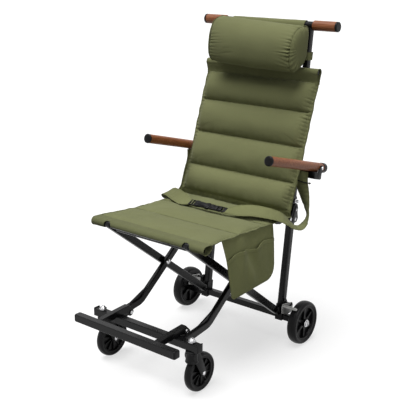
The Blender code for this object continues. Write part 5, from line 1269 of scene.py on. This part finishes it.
# Middle lines outwards from the buckle: x, y, z, heading of the width, its rise, and the width
BELT_LEFT = ((-0.0700, 0.0050, 0.4858, 90, 26, 0.020), (-0.0850, 0.0055, 0.4850, 90, 28, 0.024),
             (-0.1150, 0.0150, 0.4840, 88, 32, 0.042), (-0.1650, 0.0380, 0.4860, 84, 31, 0.046),
             (-0.2060, 0.0600, 0.4850, 78, 24, 0.046))
BELT_RIGHT = ((0.0620, 0.0050, 0.4858, 90, 26, 0.020), (0.0780, 0.0060, 0.4855, 90, 28, 0.024),
              (0.1100, 0.0260, 0.4890, 96, 32, 0.044), (0.1560, 0.0450, 0.4919, 100, 31, 0.046),
              (0.2060, 0.0600, 0.4880, 104, 24, 0.046), (0.2330, 0.0680, 0.4833, 110, 18, 0.046))
LOOP_LEFT = ((-0.2330, 0.0680, 0.4815, 72, 18, 0.046), (-0.2430, 0.0800, 0.4700, 54, 20, 0.046),
             (-0.2460, 0.1000, 0.4550, 32, 24, 0.046), (-0.2480, 0.1300, 0.4400, 12, 10, 0.045),
             (-0.2500, 0.1600, 0.4390, 12, -24, 0.044), (-0.2500, 0.1800, 0.4540, 35, -32, 0.044),
             (-0.2490, 0.1920, 0.4700, 48, -26, 0.045), (-0.2450, 0.1980, 0.4960, 36, -20, 0.046),
             (-0.2400, 0.2000, 0.5270, 18, -16, 0.046), (-0.2330, 0.2000, 0.5550, 6, -10, 0.046),
             (-0.2290, 0.1990, 0.5800, 0, -4, 0.046), (-0.2290, 0.1987, 0.6060, 0, 0, 0.046))
LOOP_RIGHT = ((0.2500, 0.0800, 0.4730, 128, 20, 0.046), (0.2590, 0.1000, 0.4560, 148, 24, 0.046),
              (0.2630, 0.1300, 0.4400, 168, 10, 0.045), (0.2650, 0.1600, 0.4390, 168, -24, 0.044),
              (0.2650, 0.1800, 0.4540, 145, -32, 0.044), (0.2630, 0.1920, 0.4700, 132, -26, 0.045),
              (0.2530, 0.1980, 0.4960, 144, -20, 0.046), (0.2430, 0.2000, 0.5270, 162, -16, 0.046),
              (0.2340, 0.2000, 0.5550, 174, -10, 0.046), (0.2290, 0.1990, 0.5800, 180, -4, 0.046),
              (0.2290, 0.1987, 0.6060, 180, 0, 0.046))
# In the chair the right strap gives way to the buckle's half that pulls out, and the risers to the back frame;
# these bodies and points are not used for a bend
BELT_BEND = ("leg_frame", "buckle_half", at(0.2000, 0.0500, 0.4850), at(0.0850, 0.0100, 0.4850))
RISER_BEND = ("mast_carriage", "back_frame", at(0, 0.2100, 0.4400), at(0, 0.2000, 0.5600))


def smooth_path(controls, per_span):
    """Points through the controls, each a vector of any length."""
    points = []
    last = len(controls) - 1
    for i in range(last):
        p0, p1, p2, p3 = (controls[max(0, min(last, i + k))] for k in (-1, 0, 1, 2))
        for k in range(per_span):
            t = k / per_span
            points.append([0.5 * (2 * b + (c - a) * t + (2 * a - 5 * b + 4 * c - d) * t * t
                                  + (3 * b - a - 3 * c + d) * t ** 3) for a, b, c, d in zip(p0, p1, p2, p3)])
    points.append(list(controls[last]))
    return points


def strap(name, controls, seed):
    """A flat strap with bound edges, gently curved across, along its middle line."""
    route = smooth_path(controls, 12)
    rows = len(route) - 1
    middles = [at(*entry[:3]) for entry in route]
    ways = []
    for k, entry in enumerate(route):
        heading, rise = math.radians(entry[3]), math.radians(entry[4])
        level = math.cos(rise)
        way = Vector((math.cos(heading) * level, math.sin(heading) * level, math.sin(rise)))
        along = (middles[min(k + 1, rows)] - middles[max(k - 1, 0)]).normalized()
        way = (way - along * way.dot(along)).normalized()
        ways.append((way, along.cross(way).normalized()))

    def place(u, v, lift=0.0):
        k = int(round(v * rows))
        way, out = ways[k]
        across = (u - 0.5) * route[k][5]
        bow = 0.0011 * (1 - (2 * u - 1) ** 2) + ripple(Vector((k * 0.009, across, 0)), 0.030, seed) * 0.0012
        return middles[k] + way * across + out * (bow + lift)

    band = cloth_grid(name, 14, rows, place)
    thicken(band, 0.0017)
    rims = [piped([place(u, k / rows) for k in range(rows + 1)], 0.00125) for u in (0.0, 1.0)]
    threads = []
    for u in (0.07, 0.93):
        for lift in (-0.00095, 0.00095):

            def row(t):
                low = int(min(t * rows, rows - 1))
                return place(u, low / rows, lift).lerp(place(u, (low + 1) / rows, lift), t * rows - low)

            threads.append(stitch_row(row, int(rows * 1.1), 0.0003))
    return joined([band] + rims), joined(threads)


def add_belts():
    """Both belts from the buckle round the frame and up behind the cover."""
    pieces = (("belt_left_strap", BELT_LEFT + LOOP_LEFT[:5], ["belt_left"], "leg_frame", 3.0),
              ("belt_left_riser", LOOP_LEFT[4:], [], RISER_BEND, 7.0),
              ("belt_right_strap", BELT_RIGHT + LOOP_RIGHT[:4], ["belt_right"], BELT_BEND, 11.0),
              ("belt_right_riser", LOOP_RIGHT[3:], [], RISER_BEND, 15.0))
    for name, controls, replaced, body, seed in pieces:
        band, threads = strap(name, controls, seed)
        done(band, name, "webbing", body, replaced, angle=60)
        done(threads, name + "_stitching", "thread", body)


def in_buckle(x, across, height):
    """A place on the buckle: along the belt, across it, and above its middle plane."""
    c, t = math.cos(BUCKLE_TILT), math.sin(BUCKLE_TILT)
    across, height = across * 0.78, height * 0.85
    return at(x, BUCKLE[0] + c * across - t * height, BUCKLE[1] + t * across + c * height)


def slab(outline, low, high, bevel, place, segments=3):
    """A plate from an outline, drawn point by point, filled, drawn up and given round edges."""
    piece = drawn([Vector((x, y, low)) for x, y in outline])
    bpy.ops.mesh.edge_face_add()
    bpy.ops.mesh.extrude_region_move(TRANSFORM_OT_translate={"value": (0, 0, high - low)})
    bpy.ops.mesh.select_all(action="SELECT")
    bpy.ops.mesh.normals_make_consistent(inside=False)
    leave()
    edge = piece.modifiers.new("round", "BEVEL")
    edge.width = bevel
    edge.segments = segments
    edge.limit_method = "ANGLE"
    edge.angle_limit = math.radians(40)
    apply_all(piece)
    for vert in piece.data.vertices:
        vert.co = place(*vert.co)
    tidy_normals(piece, 0.000005)
    return piece


def buckle_plate(outline, low, high, bevel):
    """A plate of the buckle, its sizes in millimetres."""
    return slab([(x * MM, y * MM) for x, y in outline], low * MM, high * MM, bevel * MM, in_buckle)


def buckle_bar(x0, x1, half, low, high, bevel):
    """A plate across the buckle, as far to both sides."""
    return buckle_plate(((x0, -half), (x1, -half), (x1, half), (x0, half)), low, high, bevel)


def buckle_rail(x0, x1, outer, inner, way, half, bevel):
    """A side rail of a strap frame."""
    outline = ((x0, way * outer), (x1, way * outer), (x1, way * inner), (x0, way * inner))
    return buckle_plate(outline, -half, half, bevel)


def both_ways(outline):
    """An outline closed by its mirror image."""
    return list(outline) + [(x, -y) for x, y in reversed(outline)]


def add_buckle():
    """Side-release buckle, a strap frame at each of its ends."""
    add_buckle_socket()
    add_buckle_tongue()


def add_buckle_socket():
    """The socket with its raised shell, three ribs on it, and its strap frame."""
    shell = both_ways([(-58, 12.5), (-52, 16.5), (-42, 16.8), (-38, 12.6), (-14, 12.4), (-9, 16.8), (2, 16.6),
                       (5, 13)])
    dome = both_ways([(-46, 5), (-40, 9), (-20, 10.5), (-4, 9), (1, 6)])
    parts = [buckle_plate(shell, -5, 5, 2.0), buckle_plate(dome, 2, 7.2, 2.2)]
    parts += [buckle_bar(x, x + 2.4, 6, 6.6, 8.0, 0.5) for x in (-34, -28, -22)]
    parts.append(buckle_bar(-80, -75, 16, -2.4, 2.4, 1.4))
    parts.append(buckle_bar(-68, -64.5, 15, -1.6, 4.0, 1.0))
    parts += [buckle_rail(-80, -56, 16, 12.6, way, 3, 1.2) for way in (-1, 1)]
    done(joined(parts), "buckle_socket_shell", "moulded_black", "leg_frame", ["buckle_socket"])


def add_buckle_tongue():
    """The tongue with its two sprung prongs, and its strap frame with three bars."""
    base = both_ways([(5.4, 9), (7, 15), (20, 14.6), (26, 12)])
    parts = [buckle_plate(base, -4.2, 4.2, 1.8), buckle_bar(9, 22, 8, 3, 6.0, 1.4)]
    prong = ((8, 9.6), (-12, 12.6), (-30, 15.6), (-38, 15.8), (-38, 13.2), (-28, 12.8), (-10, 10.2), (8, 7))
    for way in (-1, 1):
        parts.append(buckle_plate([(x, way * y) for x, y in prong], -3, 3, 1.0))
        parts.append(buckle_rail(24, 68, 15, 11.6, way, 2.6, 1.1))
    for x, low, high in ((59.5, -2.6, 3.4), (42.5, -3.0, 5.6), (25.5, -3.2, 4.6)):
        parts.append(buckle_bar(x, x + 12.5, 13, low, high, 1.6))
    done(joined(parts), "buckle_tongue_frame", "moulded_black", "buckle_half", ["buckle_tongue"])


def add_elastic_clip():
    """Thin black elastic across the right strap, ending in a small ball."""
    route = ((0.2080, 0.2010, 0.5735), (0.2160, 0.1962, 0.5728), (0.2300, 0.1955, 0.5715),
             (0.2440, 0.1958, 0.5705), (0.2540, 0.1975, 0.5700), (0.2600, 0.1985, 0.5700))
    band = piped([at(*point) for point in route], 0.0018)
    bpy.ops.object.select_all(action="DESELECT")
    bpy.ops.mesh.primitive_uv_sphere_add(segments=20, ring_count=12, radius=0.0032,
                                         location=at(0.2610, 0.1985, 0.5700))
    ball = bpy.context.object
    ball.scale = (1.25, 1, 1)
    settle(ball)
    done(joined([band, ball]), "strap_elastic_clip", "moulded_black", "back_frame")


# Centres of the right-hand wheels, and the casters' stems in side view
REAR_WHEEL = (0.2520, 0.2078, 0.0750)
CASTER = (0.1854, -0.2685, 0.0625)
CASTER_STEM_Y = -0.3045
# Each tyre's radius, depth, width and shoulder, and each hub's rim, width, boss, its half length and web
REAR_TYRE = (0.0750, 0.0170, 0.0340, 0.30)
REAR_HUB = (0.0577, 0.0270, 0.0125, 0.0165, 0.0015)
CASTER_TYRE = (0.0625, 0.0135, 0.0255, 0.34)
CASTER_HUB = (0.0489, 0.0205, 0.0095, 0.0146, 0.0015)
# Footrest arms, their hinge in side view, and how far its pin's heads stand out
FOOT_ARM_X = 0.1190
FOOT_HINGE = (-0.2556, 0.1686)
PIN_OUT = 0.0133
# Middle line of an armrest in side view, its place across, and its pivot
ARM_LINE = ((-0.0219, 0.6822), (0.3080, 0.5977))
ARM_X = 0.2455
ARM_PIVOT = (0.2656, 0.6086)


def plate_x(outline, x0, x1, bevel, segments=3):
    """A plate from a side-view outline between two places across the chair."""
    low, high = min(x0, x1), max(x0, x1)
    return slab(outline, low, high, bevel, lambda y, z, x: at(x, y, z), segments)


def pill(a, ra, b, rb):
    """Side-view outline round two circles, the first no smaller than the second."""
    heading = math.atan2(b[1] - a[1], b[0] - a[0])
    lean = math.acos((ra - rb) / math.dist(a, b))
    points, steps = [], 14
    for centre, radius, start, end in ((a, ra, lean, 2 * math.pi - lean), (b, rb, -lean, lean)):
        for k in range(steps + 1):
            angle = heading + start + (end - start) * k / steps
            points.append((centre[0] + radius * math.cos(angle), centre[1] + radius * math.sin(angle)))
    return points


def turned_x(profile, centre, way, steps, closed=False):
    """A piece turned about an axis across the chair, its profile given outwards from the centre."""
    return spun([(way * a, r) for a, r in profile], centre, steps, closed)


def bolt_head(x, y, z, way, radius, height):
    """Washer and domed head with its key hole, facing along X."""
    profile = [(height * 0.4, 0.0), (height * 0.4, radius * 0.42), (height, radius * 0.52),
               (height * 0.9, radius * 0.74), (height * 0.5, radius * 0.95), (0.0007, radius),
               (0.0007, radius * 1.36), (-0.0003, radius * 1.40), (-0.0010, radius * 1.40), (-0.0010, 0.0)]
    return turned_x(profile, at(x, y, z), way, 28)


def tyre(centre, radius, depth, width, shoulder, way):
    """Round tread, a step on each sidewall, and the bead that grips the rim."""
    w = width / 2
    face = [(w * 0.70, radius - depth), (w * 0.82, radius - depth * 0.94), (w * 0.86, radius - depth * 0.80),
            (w * 0.93, radius - depth * 0.74), (w * 0.99, radius - depth * 0.60), (w, radius - depth * 0.45),
            (w * 0.95, radius - depth * shoulder), (w * 0.76, radius - depth * shoulder * 0.42),
            (w * 0.42, radius - depth * 0.05), (w * 0.12, radius)]
    profile = rounded([(-a, r) for a, r in face] + list(reversed(face)), depth * 0.12, 2)
    return turned_x(profile, centre, way, 96, closed=True)


def radial(outline, centre, angle, x0, x1, bevel):
    """A plate from an outline of outwards and across, set at an angle round an axis across the chair."""
    c, t = math.cos(angle), math.sin(angle)

    def place(a, b, x):
        return centre + Vector((x, c * a - t * b, t * a + c * b))

    return slab(outline, x0, x1, bevel, place, 2)


def dished_hub(centre, rim, width, boss, boss_half, web, way):
    """Rim, closed web and boss in one turned section."""
    w = width / 2
    face = [(w, rim), (w, rim * 0.935), (w * 0.90, rim * 0.915), (web + 0.0006, rim * 0.895),
            (web, rim * 0.86), (web, boss * 1.25), (web + 0.0010, boss * 1.05), (boss_half * 0.94, boss),
            (boss_half, boss * 0.90), (boss_half, 0.0)]
    return turned_x([(-a, r) for a, r in reversed(face)] + face, centre, way, 72)


def add_wheel(kind, side, body, centre, ring, hub, ribs, way):
    """Tyre, and a hub with ribs on both faces of its web; ribs are outline, count, reach and bevel."""
    done(tyre(centre, *ring, way), f"{kind}_tyre_skin_{side}", "tyre_black", body, [f"{kind}_tyre_{side}"])
    outline, count, reach, bevel = ribs
    parts = [dished_hub(centre, *hub, way)]
    for k in range(count):
        for x0, x1 in ((0.0005, reach), (-reach, -0.0005)):
            parts.append(radial(outline, centre, math.pi * (k + 0.5) / (count / 2), x0, x1, bevel))
    done(joined(parts), f"{kind}_hub_web_{side}", "moulded_black", body, [f"{kind}_hub_{side}"])


def add_rear_wheels():
    """Tyre and hub of each rear wheel, and its axle's slotted end."""
    spoke = both_ways([(0.0085, -0.0070), (0.0300, -0.0034), (0.0520, -0.0046)])
    end = [(0.0, 0.0), (0.0, 0.0125), (0.0010, 0.0128), (0.0018, 0.0120), (0.0020, 0.0085), (0.0046, 0.0078),
           (0.0058, 0.0050), (0.0060, 0.0)]
    slot = both_ways([(-0.0062, -0.0014), (0.0062, -0.0014)])
    for side, way in SIDES:
        centre = at(way * REAR_WHEEL[0], *REAR_WHEEL[1:])
        body = f"rear_wheel_{side}"
        add_wheel("rear", side, body, centre, REAR_TYRE, REAR_HUB, (spoke, 6, 0.0092, 0.0012), way)
        face = centre + Vector((way * 0.0166, 0, 0))
        done(turned_x(end, face, way, 40), f"rear_axle_cap_{side}", "bright_steel", body)
        low, high = sorted((0, way * 0.0066))
        bar = radial(slot, face, math.radians(80), low, high, 0.0004)
        done(bar, f"rear_axle_slot_{side}", "moulded_black", body)


def add_brakes():
    """Plate, pedal bar and bolt of each brake lever."""
    edge = [(0.1520, 0.1120), (0.1500, 0.1370), (0.1560, 0.1450), (0.1740, 0.1420), (0.2140, 0.1350),
            (0.2190, 0.1240), (0.2160, 0.1040), (0.2040, 0.0980), (0.1780, 0.1010)]
    for side, way in SIDES:
        parts = [plate_x(edge, way * 0.2030, way * 0.2056, 0.0009)]
        parts.append(turned_x([(0.0, 0.0), (0.0, 0.0048), (0.0500, 0.0048), (0.0540, 0.0040), (0.0550, 0.0)],
                              at(way * 0.2056, 0.1560, 0.1400), way, 24))
        done(joined(parts), f"brake_plate_{side}", "dull_zinc", f"brake_{side}", [f"brake_lever_{side}"])
        head = bolt_head(way * 0.2058, 0.2070, 0.1290, way, 0.0048, 0.0030)
        done(head, f"brake_bolt_{side}", "bright_steel", f"brake_{side}")


def add_casters():
    """Tyre and hub of each caster, its swivel fork and the heads of its axle."""
    rib = both_ways([(0.0075, -0.0016), (0.0440, -0.0013)])
    crown = [(0.1090, 0.0), (0.1090, 0.0196), (0.1105, 0.0206), (0.1135, 0.0206), (0.1150, 0.0196),
             (0.1180, 0.0192), (0.1400, 0.0194), (0.1412, 0.0178), (0.1425, 0.0176), (0.1432, 0.0192),
             (0.1462, 0.0194), (0.1471, 0.0180), (0.1471, 0.0)]
    blade = pill((CASTER_STEM_Y + 0.0040, 0.1300), 0.0166, CASTER[1:], 0.0120)
    for side, way in SIDES:
        x = way * CASTER[0]
        fork = f"caster_fork_{side}"
        add_wheel("caster", side, f"caster_wheel_{side}", at(x, *CASTER[1:]), CASTER_TYRE, CASTER_HUB,
                  (rib, 10, 0.0072, 0.0005), way)
        parts = [spun(crown, at(x, CASTER_STEM_Y, 0), 48, axis="Z")]
        parts += [plate_x(blade, x + edge * 0.0150, x + edge * 0.0184, 0.0009) for edge in (-1, 1)]
        done(joined(parts), f"caster_fork_shell_{side}", "moulded_black", fork, [f"caster_fork_{side}"])
        heads = [bolt_head(x + edge * 0.0186, *CASTER[1:], edge, 0.0046, 0.0036) for edge in (-1, 1)]
        done(joined(heads), f"caster_axle_heads_{side}", "bright_steel", fork)


def add_front_fittings():
    """Stem nuts, end caps of the front bar, the footrest bar's caps, and the bolts and stops of its arms."""
    stem = (([(0.0, 0.0), (0.0, 0.0126), (0.0014, 0.0128), (0.0016, 0.0)], 32),
            ([(0.0012, 0.0), (0.0012, 0.0102), (0.0020, 0.0108), (0.0066, 0.0108), (0.0074, 0.0100),
              (0.0074, 0.0)], 6),
            ([(0.0060, 0.0), (0.0060, 0.0076), (0.0090, 0.0071), (0.0112, 0.0050), (0.0120, 0.0)], 24),
            ([(-0.0430, 0.0), (-0.0430, 0.0045), (0.0010, 0.0045), (0.0010, 0.0)], 20))
    end = box_outline(CASTER_STEM_Y, 0.1615, 0.0127, 0.0142, 0.0022)
    tip = box_outline(-0.3980, 0.1745, 0.0128, 0.0128, 0.0050)
    for side, way in SIDES:
        base = at(way * CASTER[0], CASTER_STEM_Y, 0.1755)
        parts = [spun(profile, base, steps, axis="Z") for profile, steps in stem]
        done(joined(parts), f"stem_nut_{side}", "bright_steel", "leg_frame", [f"stem_bolt_{side}"], angle=30)
        cap = plate_x(end, way * 0.2140, way * 0.2168, 0.0014)
        done(cap, f"front_bar_cap_{side}", "moulded_black", "leg_frame")
        cap = plate_x(tip, way * 0.1980, way * 0.2085, 0.0046, 5)
        done(cap, f"footrest_cap_{side}", "moulded_black", "footrest")
        x = way * FOOT_ARM_X
        heads = [bolt_head(x + edge * PIN_OUT, *FOOT_HINGE, edge, 0.0044, 0.0016) for edge in (-1, 1)]
        done(joined(heads), f"footrest_bolts_{side}", "bright_steel", "leg_frame")
        stop = bolt_head(way * (FOOT_ARM_X + 0.0102), -0.2620, 0.1790, way, 0.0040, 0.0028)
        done(stop, f"footrest_stop_{side}", "bright_steel", "footrest")


def box_outline(y, z, half, tall, corner):
    """Side-view oblong with round corners, from its half sizes."""
    points = []
    for quarter, (sy, sz) in enumerate(((1, 1), (-1, 1), (-1, -1), (1, -1))):
        for k in range(5):
            angle = math.radians(90 * quarter + 22.5 * k)
            points.append((y + sy * (half - corner) + corner * math.cos(angle),
                           z + sz * (tall - corner) + corner * math.sin(angle)))
    return points


def on_arm(piece, way):
    """Lays a piece turned about Z along the armrest's line."""
    (ya, za), (yb, zb) = ARM_LINE
    run = math.dist(*ARM_LINE)
    c, t = (yb - ya) / run, (zb - za) / run
    for vert in piece.data.vertices:
        x, y, z = vert.co
        vert.co = at(way * ARM_X + x, ya + c * z - t * y, za + t * z + c * y)
    return piece


def add_arms():
    """Wood sleeves with black end caps, the fixed block of each, and the cradle and bolt that lift with it."""
    run = math.dist(*ARM_LINE)
    (ya, za), (yb, zb) = ARM_LINE
    slope = (zb - za) / (yb - ya)

    def under(y, drop):
        return (y, za + (y - ya) * slope - drop)

    wood = [(0.0062, 0.0), (0.0062, 0.0146), (0.0072, 0.0154), (0.0100, 0.0155), (run - 0.0220, 0.0155),
            (run - 0.0202, 0.0154), (run - 0.0192, 0.0146), (run - 0.0192, 0.0)]
    block = [under(0.2180, 0.0158), under(0.2620, 0.0158), under(0.2640, 0.0200), under(0.2620, 0.0370),
             under(0.2560, 0.0400), under(0.2220, 0.0400), under(0.2180, 0.0360)]
    ear = pill(under(0.2480, 0.0260), 0.0110, ARM_PIVOT, 0.0088)
    for side, way in SIDES:
        body = f"armrest_{side}"
        done(on_arm(spun(wood, (0, 0, 0), 64, axis="Z"), way), f"armrest_sleeve_{side}", "wood_arm", body,
             [f"armrest_wood_{side}"])
        caps = []
        for start, go, depth, wide in ((0.0, 1, 0.0060, 0.0161), (run, -1, 0.0190, 0.0168)):
            cap = [(0.0, 0.0), (0.0, 0.0110), (0.0008, 0.0140), (0.0024, wide - 0.0002), (depth, wide),
                   (depth, 0.0)]
            caps.append(on_arm(spun([(start + go * a, r) for a, r in cap], (0, 0, 0), 48, axis="Z"), way))
        done(joined(caps), f"armrest_caps_{side}", "moulded_black", body, [f"armrest_core_{side}"])
        fixed = plate_x(block, way * 0.1740, way * 0.2280, 0.0016)
        done(fixed, f"arm_block_{side}", "moulded_black", "back_frame", [f"arm_bracket_{side}"])
        parts = [plate_x(block, way * 0.2284, way * 0.2660, 0.0016),
                 plate_x(ear, way * 0.2620, way * 0.2664, 0.0010)]
        done(joined(parts), f"arm_cradle_{side}", "moulded_black", body)
        head = bolt_head(way * 0.2666, *ARM_PIVOT, way, 0.0042, 0.0030)
        done(head, f"arm_bolt_{side}", "bright_steel", body)


def add_knuckles():
    """Sculpted cover plate of each hinge block with its bolts, and the pull knob in its collar."""
    edge = [(0.2140, 0.4130), (0.2280, 0.4050), (0.2600, 0.4080), (0.2680, 0.4200), (0.2640, 0.4400),
            (0.2670, 0.4560), (0.2620, 0.4700), (0.2480, 0.4740), (0.2360, 0.4660), (0.2330, 0.4480),
            (0.2240, 0.4360), (0.2150, 0.4280)]
    rib = pill((0.2380, 0.4220), 0.0086, (0.2530, 0.4600), 0.0066)
    bolts = ((0.1808, 0.2220, 0.4260, 0.0040), (0.1808, 0.2500, 0.4190, 0.0040),
             (0.1828, 0.2530, 0.4520, 0.0030))
    pull = [(-0.0100, 0.0), (-0.0100, 0.0028), (0.0010, 0.0028), (0.0010, 0.0074), (0.0016, 0.0078),
            (0.0044, 0.0078), (0.0050, 0.0072), (0.0050, 0.0030), (0.0085, 0.0030), (0.0088, 0.0052),
            (0.0100, 0.0060), (0.0132, 0.0060), (0.0142, 0.0050), (0.0144, 0.0)]
    for side, way in SIDES:
        parts = [plate_x(edge, way * 0.1772, way * 0.1806, 0.0011)]
        parts.append(plate_x(rib, way * 0.1800, way * 0.1826, 0.0010))
        done(joined(parts), f"knuckle_cover_{side}", "moulded_black", "mast_carriage")
        heads = [bolt_head(way * x, y, z, way, radius, 0.0026) for x, y, z, radius in bolts]
        done(joined(heads), f"knuckle_bolts_{side}", "bright_steel", "mast_carriage")
        knob = turned_x(pull, at(way * 0.1740, 0.2547, 0.4820), way, 32)
        done(knob, f"pull_knob_{side}", "bright_steel", f"latch_{side}", [f"latch_pin_{side}"])


def main():
    bpy.ops.object.select_all(action="DESELECT")
    finish_nodes()
    add_rear_wheels()
    add_brakes()
    add_casters()
    add_front_fittings()
    add_arms()
    add_knuckles()
    add_front_tube()
    add_back_cover()
    add_pillow()
    add_pillow_flap()
    add_post_tabs()
    add_seat()
    add_pocket()
    add_belts()
    add_buckle()
    add_elastic_clip()
    add_studio()
    add_camera()


main()
